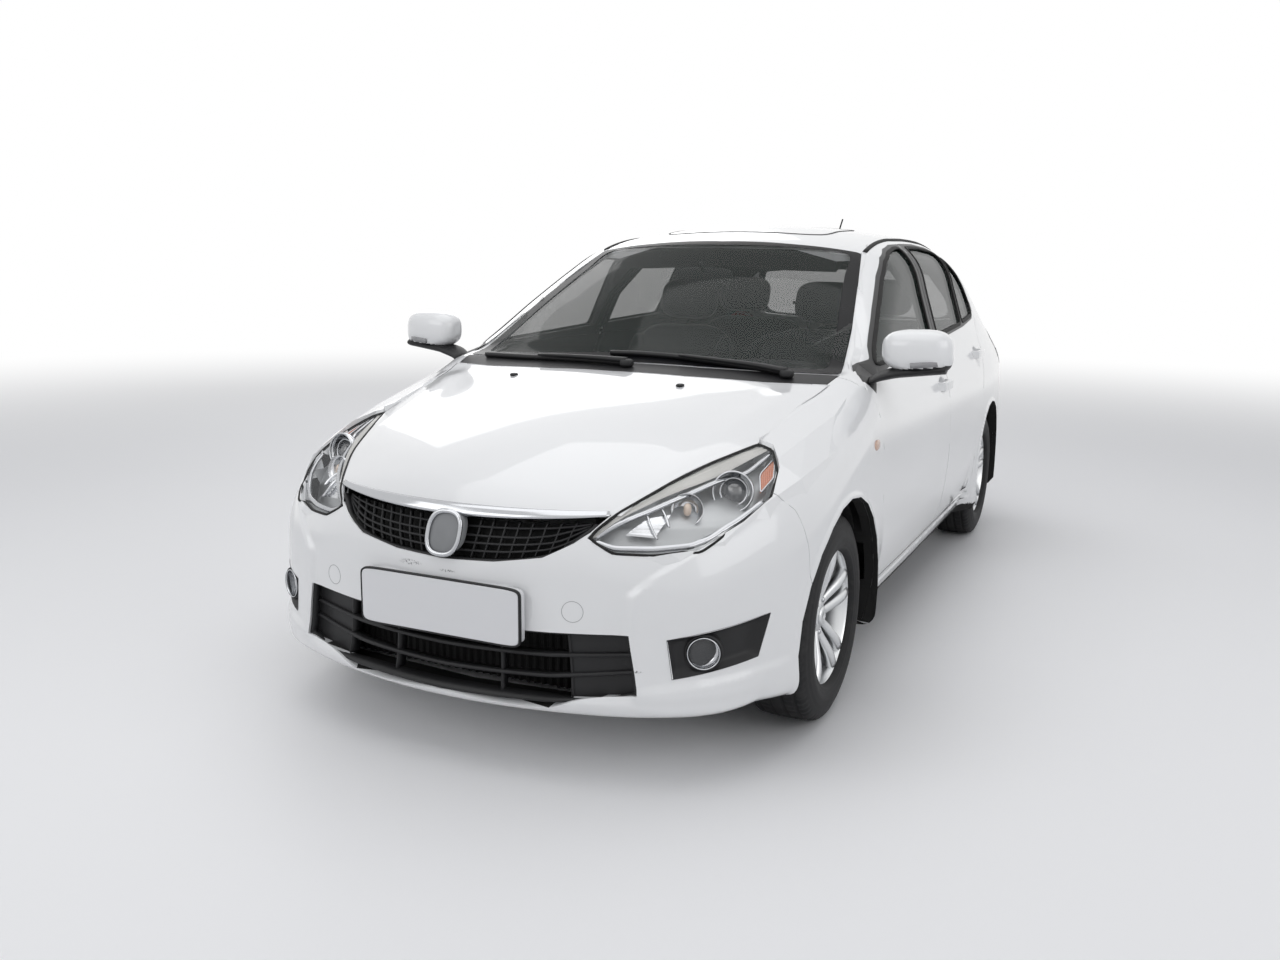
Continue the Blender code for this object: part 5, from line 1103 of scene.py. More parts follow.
lampSizes = {
    "outline": [(0.645, -1.522, 0.858), (0.69, -1.529, 0.852), (0.738, -1.616, 0.805), (0.757, -1.721, 0.748),
                (0.72, -1.829, 0.7), (0.642, -1.941, 0.641), (0.55, -2.004, 0.628), (0.453, -2.043, 0.628),
                (0.39, -2.05, 0.663), (0.445, -1.978, 0.728), (0.5, -1.874, 0.771), (0.575, -1.693, 0.823)],
    "high": [(0.395, -2.041, 0.661), (0.437, -1.963, 0.722), (0.492, -1.825, 0.775), (0.552, -1.700, 0.806),
             (0.598, -1.572, 0.835), (0.657, -1.490, 0.847)],
    "strip": [(0.401, -2.038, 0.661), (0.454, -1.972, 0.710), (0.504, -1.892, 0.739), (0.569, -1.785, 0.768),
              (0.611, -1.704, 0.787), (0.680, -1.495, 0.838)],
    "bright": [(0.401, -2.038, 0.661), (0.454, -1.981, 0.700), (0.498, -1.927, 0.721), (0.555, -1.838, 0.748),
               (0.608, -1.733, 0.777), (0.660, -1.654, 0.790), (0.686, -1.500, 0.832)],
    "foot": [(0.401, -2.040, 0.655), (0.448, -2.034, 0.640), (0.545, -1.986, 0.641), (0.632, -1.930, 0.652),
             (0.705, -1.830, 0.703), (0.740, -1.730, 0.745)],
    "projector": (0.658, -1.754, 0.750), "lensRadius": 0.034, "bowlRadius": 0.053,
    "bulb": (0.577, -1.870, 0.716),
    "bulbBowl": 0.043, "view": (-0.34, 0.92, -0.20), "way": (0.20, -0.96, 0.16), "depth": 0.046,
    "amber": [(0.700, -1.545, 0.822), (0.690, -1.640, 0.785), (0.717, -1.706, 0.750), (0.728, -1.630, 0.783)],
    "flutesLow": [(0.470, -2.000, 0.672), (0.535, -1.960, 0.664)],
    "flutesHigh": [(0.500, -1.930, 0.712), (0.548, -1.890, 0.722)],
    "ribs": [[(0.498, -1.934, 0.716), (0.515, -1.950, 0.690), (0.543, -1.966, 0.662)],
             [(0.522, -1.898, 0.728), (0.545, -1.915, 0.705), (0.559, -1.930, 0.687)]],
}


def lampLine(name, depth, step=0.012):
    path = softened(spaced(lampSizes[name], step), 3)
    return onto(path, -depth)


# Between two lines under the lens: rows slide from one to the other, with folds as a wave in depth
def between(low, high, depth, folds=0, fold=0.0, columns=40, rows=13):
    t = np.linspace(0, 1, columns)
    ends = []
    for path in (spaced(low, 0.01), spaced(high, 0.01)):
        ends.append(np.stack([np.interp(t, np.linspace(0, 1, len(path)), path[:, k]) for k in range(3)], -1))
    a, b = ends
    share = np.linspace(0, 1, rows)
    grid = np.stack([a * (1 - k) + b * k for k in share], 0)
    lift = fold * np.abs(np.sin(share * math.pi * folds)) if folds else share * 0
    flat = grid.reshape(-1, 3)
    flat = onto(flat, -depth)
    flat = flat + wayOut(flat) * np.repeat(lift, columns)[:, None]
    return flat, gridFaces(rows, columns)


def outward(shape):
    points, faces = shape
    tri = np.array([f[:3] for f in faces])
    way, middle = faceWays(points, tri)
    if np.sum(way * wayOut(middle)) < 0:
        faces = [f[::-1] for f in faces]
    return points, faces


def addHeadlamps():
    s = lampSizes
    view = unit(np.array(s["view"]))
    axis = unit(np.array(s["way"]))
    eye = np.array(s["projector"]) + view * 0.040
    r = s["lensRadius"]
    b = s["bowlRadius"]
    bowl = turned([(b, 0.012), (b * 1.05, 0.008), (b * 1.04, -0.004), (b * 0.80, -0.030), (r * 1.1, -0.040),
                   (r * 1.1, -0.042),
                   (b * 0.85, -0.034), (b * 0.95, -0.002)], eye, axis, 56)
    rings = joined(sweep(*ringAt(eye + axis * 0.012, axis, b), roundSection(0.0028, 8), True),
                   sweep(*ringAt(eye - axis * 0.004, axis, r * 1.06), roundSection(0.0030, 8), True))
    lens = dome(eye - axis * 0.012, axis, r, 0.018)
    bulbAt = np.array(s["bulb"]) + view * 0.034
    cup = turned([(s["bulbBowl"], 0.004), (s["bulbBowl"] * 0.86, -0.014), (s["bulbBowl"] * 0.5, -0.028),
                  (0.004, -0.034),
                  (0.004, -0.036), (s["bulbBowl"] * 0.9, -0.018)], bulbAt, axis, 44)
    warm = roundedBlock(bulbAt - axis * 0.004, (0.020, 0.022, 0.034), 2.4)
    grey = outward(between(s["strip"], s["high"], 0.006, 3, 0.0022))
    flutes = outward(between(s["flutesLow"], s["flutesHigh"], 0.026, 6, 0.002, 14))
    section = flatTop(0.002, 0.012, 0.002, 0.002)
    ribs = [sweep(lampCurve(line, 0.014), [1, -1, 0], section) for line in s["ribs"]]
    inner = joined(flutes, *ribs)
    bright = lampLine("bright", 0.009)
    foot = lampLine("foot", 0.007)
    trim = joined(sweep(bright, wayOut(bright), flatTop(0.007, 0.004, 0.005, 0.003)),
                  sweep(foot, wayOut(foot), flatTop(0.008, 0.006, 0.006, 0.002)))
    p = s["amber"]
    amber = outward(between([p[1], p[2]], [p[0], p[3]], 0.010, 7, 0.0016, 12, 29))
    frameLine = onto(softened(spaced(p, 0.008, True), 2, True), -0.008)
    amberFrame = sweep(frameLine, wayOut(frameLine), roundSection(0.0022, 8), True)
    gasketPath = onto(softened(spaced(s["outline"], 0.010, True), 2, True), 0.0)
    gasket = sweep(gasketPath, wayOut(gasketPath),
                   [(-0.005, -0.006), (0.004, -0.006), (0.003, 0.0015), (-0.003, 0.0015)], True)
    for side, sign in sides:
        name = "headlamp_" + side
        points, faces, normals, tags = smoothPanel(name, edge=0.016)
        keep = faces[tags == 0]
        used, back = np.unique(keep, return_inverse=True)
        shell = points[used]
        keep = back.reshape(-1, 3)
        lensNormals = normals.reshape(-1, 3, 3)[tags == 0].reshape(-1, 3)
        lensPiece = addMesh("lampLens_" + side, shell - wayOut(shell) * 0.0005, keep.tolist(), "lens", "body",
                            "lamp_glass", True, None, lensNormals)
        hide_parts(name)
        middle = shell.mean(axis=0)
        bottom = middle - wayOut(middle[None])[0] * s["depth"]
        deep = bottom + (shell - wayOut(shell) * s["depth"] - bottom) * 0.93
        edges = np.concatenate([keep[:, [0, 1]], keep[:, [1, 2]], keep[:, [2, 0]]])
        known = {tuple(e) for e in edges.tolist()}
        rim = [e for e in edges.tolist() if (e[1], e[0]) not in known]
        n = len(shell)
        faces = (keep + n).tolist() + [[first + n, last + n, last, first] for first, last in rim]
        points = np.concatenate([shell - wayOut(shell) * 0.002, deep])
        addMesh("lampHousing_" + side, points, faces, "lampShell", "body", "lamp_glass", False)
        addMesh("lampBowl_" + side, *onSide(sign, joined(bowl, cup)), "reflector", "body", "lamp_glass")
        addMesh("lampRings_" + side, *onSide(sign, joined(rings, trim, amberFrame)), "chrome", "body",
                "lamp_glass")
        addMesh("lampEye_" + side, *onSide(sign, lens), "darkLens", "body", "lamp_glass")
        addMesh("lampBulb_" + side, *onSide(sign, warm), "bulb", "body", "lamp_glass")
        addMesh("lampStrip_" + side, *onSide(sign, grey), "lampUpper", "body", "lamp_glass")
        addMesh("lampRibs_" + side, *onSide(sign, inner), "reflector", "body", "lamp_glass")
        addMesh("lampAmber_" + side, *onSide(sign, amber), "amber", "body", "lamp_glass")
        addMesh("lampGasket_" + side, *onSide(sign, gasket), "gasket", "body", "black_plastic")


# A ring's points and the ways out from its middle
def ringAt(centre, axis, radius, steps=48):
    u, v = squareTo(axis)
    a = circle(steps)[:, None]
    way = u * np.cos(a) + v * np.sin(a)
    return centre + way * radius, way


def lampCurve(points, depth):
    return onto(softened(spaced(points, 0.006), 2), -depth)


addUpperGrille()
addBadge()
addLowerGrille()
addFogLamps()
addHeadlamps()
print("nose dressed")

wheelSizes = {
    "radius": 0.308, "half": 0.1025, "rim": 0.2075, "grooves": (-0.056, -0.019, 0.019, 0.056),
    "grooveWide": 0.0085,
    "grooveDeep": 0.0065, "sipes": 72, "sipeDeep": 0.004, "innerSipeDeep": 0.0028, "steps": 288, "spokes": 5,
    "hub": 0.034, "capRadius": 0.029,
    "rings": [(0.40, 0.02, 0.0009), (0.86, 0.03, 0.0012), (0.18, 0.02, 0.0008)],
    "lip": 0.2125, "face": 0.083, "dish": 0.030, "nuts": 5, "nutCircle": 0.050,
    "at": {"front_left": (0.7315, -1.319, 0.308), "front_right": (-0.7315, -1.319, 0.308),
           "rear_left": (0.7315, 1.291, 0.308), "rear_right": (-0.7315, 1.291, 0.308)},
}


# A tyre: a round-shouldered profile turned about the axle, less four grooves round it and cuts
# across its shoulders; the sidewall carries plain raised rings
def tyreShape():
    s = wheelSizes
    across = np.linspace(-0.084, 0.084, 61)
    shoulder = np.clip((np.abs(across) - 0.068) / 0.016, 0, 1)
    crown = s["radius"] - 0.0045 * (across / 0.084)**2 - 0.010 * shoulder**2
    for groove in s["grooves"]:
        crown = crown - s["grooveDeep"] * (np.abs(across - groove) < s["grooveWide"] / 2)
    t = np.linspace(0, 1, 22)[1:]
    wallR = crown[-1] + (s["rim"] - crown[-1]) * t
    bulge = 0.084 + (s["half"] - 0.084) * np.sin(np.clip(t * 1.25, 0, 1) * math.pi / 2)
    bulge = bulge - 0.008 * ease(0.55, 1.0, t)
    for place, half, height in s["rings"]:
        bulge = bulge + height * (np.abs(t - place) < half)
    bulge = np.minimum(bulge, s["half"])
    right = np.stack([wallR, bulge], -1)
    profile = np.concatenate([np.stack([crown, across], -1), right,
                              [(s["rim"] - 0.010, 0.080), (s["rim"] - 0.010, -0.080)],
                              (right * [1, -1])[::-1]])
    a = circle(s["steps"])
    phase = (a * s["sipes"] / (2 * math.pi)) % 1
    r = np.repeat(profile[None, :, 0], s["steps"], 0)
    w = profile[:, 1]
    outer = profile[:, 0] > 0.286
    edge = np.abs(w) > 0.062
    cutA = (phase[:, None] < 0.17) & (edge & outer)[None]
    cutB = (((phase + 0.5) % 1)[:, None] < 0.12) & (outer & (np.abs(w) < 0.050) & (np.abs(w) > 0.026))[None]
    r = r - s["sipeDeep"] * cutA - s["innerSipeDeep"] * cutB
    points = np.stack([np.repeat(w[None], s["steps"], 0), r * np.cos(a)[:, None], r * np.sin(a)[:, None]],
                      -1).reshape(-1, 3)
    return points, gridFaces(s["steps"], len(profile), True, True)


# A rim: barrel and lip turned, five pairs of ribs swept from hub to lip with a slit between them
def rimShapes():
    s = wheelSizes
    x = [1.0, 0, 0]
    lip = s["lip"]
    face = s["face"]
    barrel = turned([(lip, face - 0.004), (lip - 0.001, face), (lip - 0.006, face + 0.002),
                     (lip - 0.013, face - 0.002),
                     (lip - 0.018, face - 0.012), (lip - 0.030, face - 0.050), (lip - 0.026, -0.060),
                     (lip - 0.004, -0.078),
                     (lip, -0.084), (lip, -0.070), (lip - 0.018, -0.050), (lip - 0.020, face - 0.055),
                     (lip - 0.010, face - 0.020)], (0, 0, 0), x, 96)
    hubFace = face - s["dish"]
    hub = turned([(0.0005, hubFace - 0.002), (s["hub"], hubFace - 0.002), (s["hub"] + 0.022, hubFace - 0.012),
                  (s["hub"] + 0.026, hubFace - 0.030), (s["hub"] + 0.026, hubFace - 0.045),
                  (0.0005, hubFace - 0.045)], (0, 0, 0), x, 60)
    cap = turned([(0.0005, hubFace + 0.006), (s["capRadius"] * 0.8, hubFace + 0.0055),
                  (s["capRadius"], hubFace + 0.002),
                  (s["capRadius"], hubFace - 0.006), (0.0005, hubFace - 0.006)], (0, 0, 0), x, 48)
    shapes = [barrel, hub]
    t = np.linspace(0, 1, 20)
    for k in range(s["spokes"]):
        a = math.pi / 2 + 2 * math.pi * k / s["spokes"]
        for pair in (-1, 1):
            spread = pair * (0.20 - 0.015 * t + 0.11 * (1 - t)**2)
            r = 0.042 + (lip - 0.016 - 0.042) * t
            angle = a + spread * (0.050 + 0.9 * r) / (r + 0.035)
            out = hubFace - 0.010 + (s["dish"] + 0.004) * ease(0.0, 1.0, t) * 0.9
            out = out + 0.006 * np.sin(math.pi * t)
            path = np.stack([out, r * np.cos(angle), r * np.sin(angle)], -1)
            wide = 0.0125 + 0.0075 * t
            section = [(-1.0, -1.3), (-1.0, -0.25), (-0.80, 0.05), (-0.30, 0.26), (0.25, 0.26), (0.80, 0.05),
                       (1.0, -0.25), (1.0, -1.3)]
            shapes.append(sweep(path, x, section, False, wide))
    nuts = []
    for k in range(s["nuts"]):
        a = math.pi / 2 + 2 * math.pi * (k + 0.5) / s["nuts"]
        at = (hubFace - 0.014, s["nutCircle"] * math.cos(a), s["nutCircle"] * math.sin(a))
        nuts.append(turned([(0.0003, 0.012), (0.006, 0.012), (0.0085, 0.009), (0.0085, -0.004),
                            (0.0003, -0.004)], at, x, 6))
    disc = turned([(0.070, -0.012), (0.128, -0.012), (0.129, -0.016), (0.128, -0.020), (0.070, -0.020)],
                  (0, 0, 0), x, 72)
    bell = turned([(0.0005, 0.012), (0.066, 0.012), (0.070, 0.006), (0.071, -0.014), (0.0005, -0.014)],
                  (0, 0, 0), x, 48)
    valve = turned([(0.0005, 0.022), (0.003, 0.022), (0.004, 0.0), (0.0005, 0.0)],
                   (face - 0.030, 0.0, lip - 0.034), x, 10)
    return joined(*shapes), cap, joined(*nuts), joined(disc, bell), valve


def addWheels():
    tyre = tyreShape()
    rim, cap, nuts, disc, valve = rimShapes()
    for name, at in wheelSizes["at"].items():
        body = "wheel_" + name
        sign = 1 if name.endswith("left") else -1
        tyreHere, rimHere, capHere, nutsHere, discHere, valveHere = [
            moved(onSide(sign, shape), at) for shape in (tyre, rim, cap, nuts, disc, valve)]
        piece = addMesh("tyre_" + name + "_full", *tyreHere, "rubber", body, "tyre_rubber")
        merged(piece, 0.00001)
        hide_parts("tyre_" + name)
        rimPiece = merged(addMesh("rim_" + name + "_full", *rimHere, "alloy", body, "alloy"), 0.00001)
        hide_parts("rim_" + name)
        merged(addMesh("hubCap_" + name, *capHere, "alloy", body, "alloy"))
        merged(addMesh("wheelNuts_" + name, *nutsHere, "chrome", body, "alloy"), 0.00001)
        merged(addMesh("brakeDisc_" + name, *discHere, "disc", body, "chassis_steel"), 0.00001)
        merged(addMesh("valve_" + name, *valveHere, "gasket", body, "tyre_rubber"), 0.00001)


mirrorSizes = {
    "centre": (0.922, -0.836, 1.062), "size": (0.222, 0.150, 0.150), "split": 1.010, "glass": (0.172, 0.112),
    "powers": (3.0, 2.8), "flat": 0.58, "taper": 0.10, "drawIn": 0.16, "droop": 0.05, "lean": 0.10,
    "grid": (34, 64),
    "strip": (0.915, 0.106), "stripBow": 0.075, "stripFlat": 0.35, "glassShift": (0.004, 0.0425, 0.003),
    "foot": [(0.776, -0.868, 0.960), (0.806, -0.860, 0.978), (0.850, -0.848, 0.991), (0.930, -0.840, 1.001),
             (1.012, -0.834, 1.011)], "footWide": 0.058,
}


# The mirror's cap is a rounded block, flatter behind and drawn in towards its foot; its lower
# part is black, under a lens strip
def addMirrors():
    s = mirrorSizes
    u, v = blockGrid(*s["grid"])
    tall, wide = s["powers"]
    px = squared(np.cos(u), tall) * squared(np.cos(v), wide)
    py = squared(np.cos(u), tall) * squared(np.sin(v), wide)
    pz = squared(np.sin(u), tall)
    y = np.where(py > 0, py * s["flat"], py * (1.0 - s["taper"] * px))
    z = pz * (1 - s["drawIn"] * (1 - px) / 2) - s["droop"] * px
    p = np.stack([px, y, z], -1).reshape(-1, 3) * np.array(s["size"]) / 2 + np.array(s["centre"])
    faces = gridFaces(*s["grid"], False, True)
    tri = np.array([f[:3] for f in faces])
    middle = p[tri].mean(axis=1)
    line = s["split"] + s["lean"] * (middle[:, 0] - 0.92)
    which = (middle[:, 2] < line).astype(int)
    t = np.linspace(0, 1, 26)
    x = s["strip"][0] + s["strip"][1] * t
    turn = np.clip((t - s["stripFlat"]) / (1 - s["stripFlat"]), 0, 1) * math.pi / 2
    y = s["centre"][1] - s["stripBow"] * np.abs(np.cos(turn))**0.5 - 0.0015
    z = s["split"] + s["lean"] * (x - 0.92) + 0.010
    strip = sweep(np.stack([x, y, z], -1), [0.25, -1.0, -0.15], flatTop(0.009, 0.006, 0.007, 0.001))
    glassAt = np.array(s["centre"]) + s["glassShift"]
    pane = roundedBlock(glassAt, (s["glass"][0], 0.006, s["glass"][1]), 5.0, None, 12, 44)
    stem = softened(spaced(s["foot"], 0.012), 4)
    thin = 0.72 + 0.28 * ease(0.0, 0.3, np.linspace(0, 1, len(stem)))
    foot = sweep(stem, [0, 0, 1.0], roundSection(s["footWide"], 20, 0.30), False, thin)
    for side, sign in sides:
        body = "door_front_" + side
        cap = merged(addMesh("mirrorCap_" + side, *onSide(sign, (p, faces)), ("paint", "plastic"), body,
                             "white_paint", True, which), 0.0002)
        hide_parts("mirror_" + side)
        addMesh("mirrorFoot_" + side, *onSide(sign, foot), "plastic", body, "black_plastic")
        addMesh("mirrorStrip_" + side, *onSide(sign, strip), "stripLens", body, "lamp_glass")
        merged(addMesh("mirrorPane_" + side, *onSide(sign, pane), "mirror", body, "clear_glass"), 0.0002)


smallSizes = {
    "nozzles": [(-0.328, -1.229), (0.282, -1.244)], "repeater": (-1.013, 0.781),
    "tow": [(0.364, 0.474), (-0.398, 0.467)],
    "towRadius": 0.027, "plate": (0.486, 0.146), "plateZ": 0.453,
    "wipers": [[(0.550, -1.008), (0.437, -0.990), (0.158, -0.980), (-0.090, -0.982)],
               [(0.020, -1.075), (-0.170, -1.050), (-0.400, -1.018), (-0.600, -0.975)]],
    "sunroof": [(0.0, -0.02), (0.26, -0.01), (0.34, 0.03), (0.355, 0.10), (0.35, 0.46), (0.33, 0.52),
                (0.24, 0.545), (0.0, 0.55)],
}


def addSmallPieces():
    s = smallSizes
    # washer jets: small domed blocks on the bonnet
    for k, (x, y) in enumerate(s["nozzles"]):
        at = atTop([x], [y])[0]
        jet = roundedBlock(at + [0, 0, 0.002], (0.024, 0.030, 0.012), 2.6)
        merged(addMesh("washerJet_" + str(k), *jet, "plastic", "bonnet", "black_plastic"), 0.0002)
    # covers over the towing eyes: a ring-shaped seam
    for k, (x, z) in enumerate(s["tow"]):
        a = circle(48)
        path = onto(atNose(x + np.cos(a) * s["towRadius"], z + np.sin(a) * s["towRadius"]), 0.0)
        seam = sweep(path, wayOut(path), flatTop(0.0009, 0.002, 0.0007, 0.0004), True)
        addMesh("towCover_" + str(k), *seam, "seam", "body", "white_paint")
    for side, sign in sides:
        at = onto(atSide([s["repeater"][0]], [s["repeater"][1]]))[0]
        lamp = roundedBlock(at, (0.012, 0.060, 0.034), 2.4)
        merged(addMesh("sideLamp_" + side, *onSide(sign, lamp), "sideLens", "body", "lamp_glass"), 0.0002)


# A blank plate with rounded corners in a dark frame
def addPlate():
    s = smallSizes
    wide, tall = s["plate"]
    low, high = [np.array(corner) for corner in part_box("front_plate")]
    front = low[1]
    rows = [(-0.010, front - 0.0015), (-0.004, front - 0.0015), (0, front + 0.0005), (0, high[1]),
            (0.004, front + 0.003)]
    rings = []
    for grow, y in rows:
        edge = softSquare(wide + grow, tall + grow, 14, 96)
        rings.append(np.insert(edge, 1, y, axis=1) + [0, 0, s["plateZ"]])
    points = np.concatenate(rings[:4])
    faces = gridFaces(4, 96, False, True) + [list(range(96))[::-1]] + [list(range(288, 384))]
    plate = merged(addMesh("numberPlate", points, faces, "plate", "body", "plate_white", False), 0.00001)
    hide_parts("front_plate")
    rim = sweep(rings[4], [0, -1.0, 0], flatTop(0.003, 0.004, 0.002, 0.0035), True)
    addMesh("plateFrame", *rim, "plastic", "body", "black_plastic")


# An arm and a blade each, lying along the foot of the windscreen
def addWipers():
    for k, line in enumerate(smallSizes["wipers"]):
        path = softened(spaced(line, 0.02), 4)
        blade = onto(onBody(path, "top"), 0.010)
        arm = onto(onBody(path[: int(len(path) * 0.62)] - [0, 0.012], "top"), 0.024)
        shape = joined(sweep(blade, wayOut(blade),
                             [(-0.004, -0.009), (0.004, -0.009), (0.009, 0.001), (0.004, 0.008),
                              (-0.004, 0.008), (-0.009, 0.001)]),
                       sweep(arm, wayOut(arm), flatTop(0.010, 0.004, 0.007, 0.006), False,
                             np.linspace(1.3, 0.6, len(arm))),
                       roundedBlock(arm[0] + [0, 0.004, -0.010], (0.044, 0.040, 0.028), 3.0))
        merged(addMesh("wiper_" + str(k), *shape, "plastic", "body", "black_plastic"), 0.00005)


# A panel in the roof's colour inside a seal
def addSunroof():
    half = spaced(smallSizes["sunroof"], 0.02)
    full = softened(spaced(np.concatenate([half, half[::-1][1:-1] * [-1, 1]]), 0.018, True), 3, True)
    seal = onBody(full, "top", 0.0)
    addMesh("sunroofSeal", *sweep(seal, wayOut(seal), flatTop(0.004, 0.004, 0.003, 0.002), True),
            "gasket", "body", "black_plastic")
    middle = full.mean(axis=0)
    rings = [middle + (full - middle) * k for k in np.linspace(0.02, 0.985, 16)]
    points = np.concatenate([onBody(ring, "top", 0.0012) for ring in rings])
    panel = addMesh("sunroofPanel", points,
                    gridFaces(16, len(full), False, True) + [list(range(len(full)))[::-1]],
                    "paint", "body", "white_paint")
    merged(panel, 0.00002)


addWheels()
addMirrors()
addSmallPieces()
addPlate()
addWipers()
addSunroof()
print("wheels, mirrors and small pieces made")

seatSizes = {
    "front": {"middles": (0.3103, -0.3103), "y": -0.009, "base": 0.46, "wide": 0.500, "deep": 0.520,
              "tall": 0.150,
              "backTall": 0.620, "backDeep": 0.130, "lean": -18, "head": (0.270, 0.100, 0.180)},
    "rear": {"y": 0.831, "wide": 1.180},
}


# A cushion: a closed pillow on a grid of two angles, crowned in the middle, drawn in at its edges,
# with sewn channels as shallow valleys across it
def cushionShape(centre, size, turn=None, power=3.6, channels=0, valley=0.006, rows=40, columns=72):
    u, v = blockGrid(rows, columns)
    x = squared(np.cos(u), power) * squared(np.cos(v), power)
    y = squared(np.cos(u), power) * squared(np.sin(v), power)
    z = squared(np.sin(u), 2.6)
    pinch = 1 - 0.05 * (1 - np.abs(z)) * (1 - np.abs(x * y))
    z = z * (0.86 + 0.14 * (1 - x**2) * (1 - y**2))
    if channels:
        sewn = np.exp(-(np.sin(y * math.pi * channels / 2) / 0.18)**2) * (z > 0.3)
        z = z - 2 * valley / size[2] * sewn * (1 - x**6)
    p = np.stack([x * pinch, y * pinch, z], -1).reshape(-1, 3) * np.asarray(size, float) / 2
    if turn is not None:
        p = p @ turn.T
    return p + np.asarray(centre, float), gridFaces(rows, columns, False, True)


def addCushion(name, shapes, body="body", node=None):
    piece = addMesh(name, *joined(*shapes), "cloth", body, "seat_cloth")
    merged(piece, 0.0002)
    if node:
        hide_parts(node)
    return piece


def addSeats():
    f = seatSizes["front"]
    lean = turnX(math.radians(f["lean"]))
    upright = lean @ turnX(math.pi / 2)
    headTall = f["head"][2]
    for middle, node in ((f["middles"][0], "seat_front_left"), (f["middles"][1], "seat_front_right")):
        foot = np.array([middle, f["y"], f["base"]])
        side = node[5:]
        back = foot + lean @ np.array([0, 0, f["backTall"] / 2 + 0.02])
        base = cushionShape(foot + [0, -f["deep"] / 2, f["tall"] / 2],
                            (f["wide"] * 0.98, f["deep"], f["tall"] * 0.96), None, 4.2, 5)
        bolsters = [cushionShape(foot + [k * f["wide"] * 0.42, -f["deep"] / 2, f["tall"] * 0.60],
                                 (0.085, f["deep"] * 0.94, f["tall"] * 0.92))
                    for k in (-1, 1)]
        addCushion("cushion" + side, [base] + bolsters, node=node)
        rest = cushionShape(back, (f["wide"] * 0.97, f["backTall"] * 0.98, f["backDeep"]), upright, 3.8, 5)
        wings = [cushionShape(back + lean @ np.array([k * f["wide"] * 0.41, -0.020, -0.02]),
                              (0.080, f["backTall"] * 0.86, f["backDeep"] * 0.95), upright)
                 for k in (-1, 1)]
        addCushion("backrest" + side, [rest] + wings)
        head = foot + lean @ np.array([0, -0.004, f["backTall"] + 0.030 + headTall / 2])
        addCushion("headrest" + side,
                   [cushionShape(head, (f["head"][0], headTall, f["head"][1]), upright, 3.2)])
        posts = []
        for k in (-1, 1):
            t = np.linspace(0, 1, 8)[:, None]
            a = foot + lean @ np.array([k * 0.065, 0, f["backTall"] - 0.05])
            b = foot + lean @ np.array([k * 0.065, 0, f["backTall"] + 0.06])
            posts.append(sweep(a * (1 - t) + b * t, [1.0, 0, 0], roundSection(0.006, 10)))
        foundation = joined(*posts,
                            roundedBlock(foot + [0, -f["deep"] * 0.5, -0.110],
                                         (f["wide"] * 0.62, f["deep"] * 0.70, 0.235), 6.0))
        merged(addMesh("seatFrame" + side, *foundation, "trim", "body", "dark_trim"), 0.0002)
    r = seatSizes["rear"]
    foot = np.array([0, r["y"], f["base"]])
    bench = []
    for k in (-1, 1):
        bench.append(cushionShape(foot + [k * r["wide"] * 0.25, -f["deep"] / 2, f["tall"] / 2],
                                  (r["wide"] * 0.50, f["deep"], f["tall"] * 0.96), None, 4.2, 4))
    addCushion("rearBench", bench, node="rear_seat")
    back = foot + lean @ np.array([0, 0, f["backTall"] / 2 + 0.02])
    addCushion("rearBackrest",
               [cushionShape(back + [k * r["wide"] * 0.25, 0, 0],
                             (r["wide"] * 0.50, f["backTall"] * 0.98, f["backDeep"]), upright, 4.0, 4)
                                for k in (-1, 1)])
    heads = [cushionShape(foot + lean @ np.array([x, -0.004, f["backTall"] + 0.030 + headTall / 2]),
                          (f["head"][0], headTall, f["head"][1]), upright, 3.2)
             for x in (-0.36, 0.36)]
    addCushion("rearHeadrests", heads)
    addMesh("rearSeatBase",
            *roundedBlock(foot + [0, -f["deep"] * 0.48, -0.110], (r["wide"] * 0.80, f["deep"] * 0.74, 0.235),
                          8.0), "trim", "body", "dark_trim")


cabinSizes = {"wheel": (0.36, -0.389, 0.90), "tilt": 24, "rim": 0.183, "grip": 0.0145,
              "mirror": (-0.03, -0.30, 1.272),
              "mirrorSize": (0.230, 0.045, 0.070),
              "hood": [(0.36, -0.585, 0.945), (0.360, 0.170, 0.085), 3.2],
              "stack": [(0.0, -0.535, 0.840), (0.270, 0.080, 0.230), 5.0], "stackLean": -14,
              "dials": [(0.30, -0.508, 0.930), (0.42, -0.508, 0.930)], "dialWay": (0, 1.0, 0.35),
              "vents": (-0.56, -0.085, 0.085, 0.60), "ventAt": (-0.484, 0.865), "ventHalf": 0.040,
              "ventPitch": 0.012,
              "dial": [(0.0005, 0.002), (0.044, 0.002), (0.050, 0.008), (0.052, 0.0), (0.0005, 0.0)]}


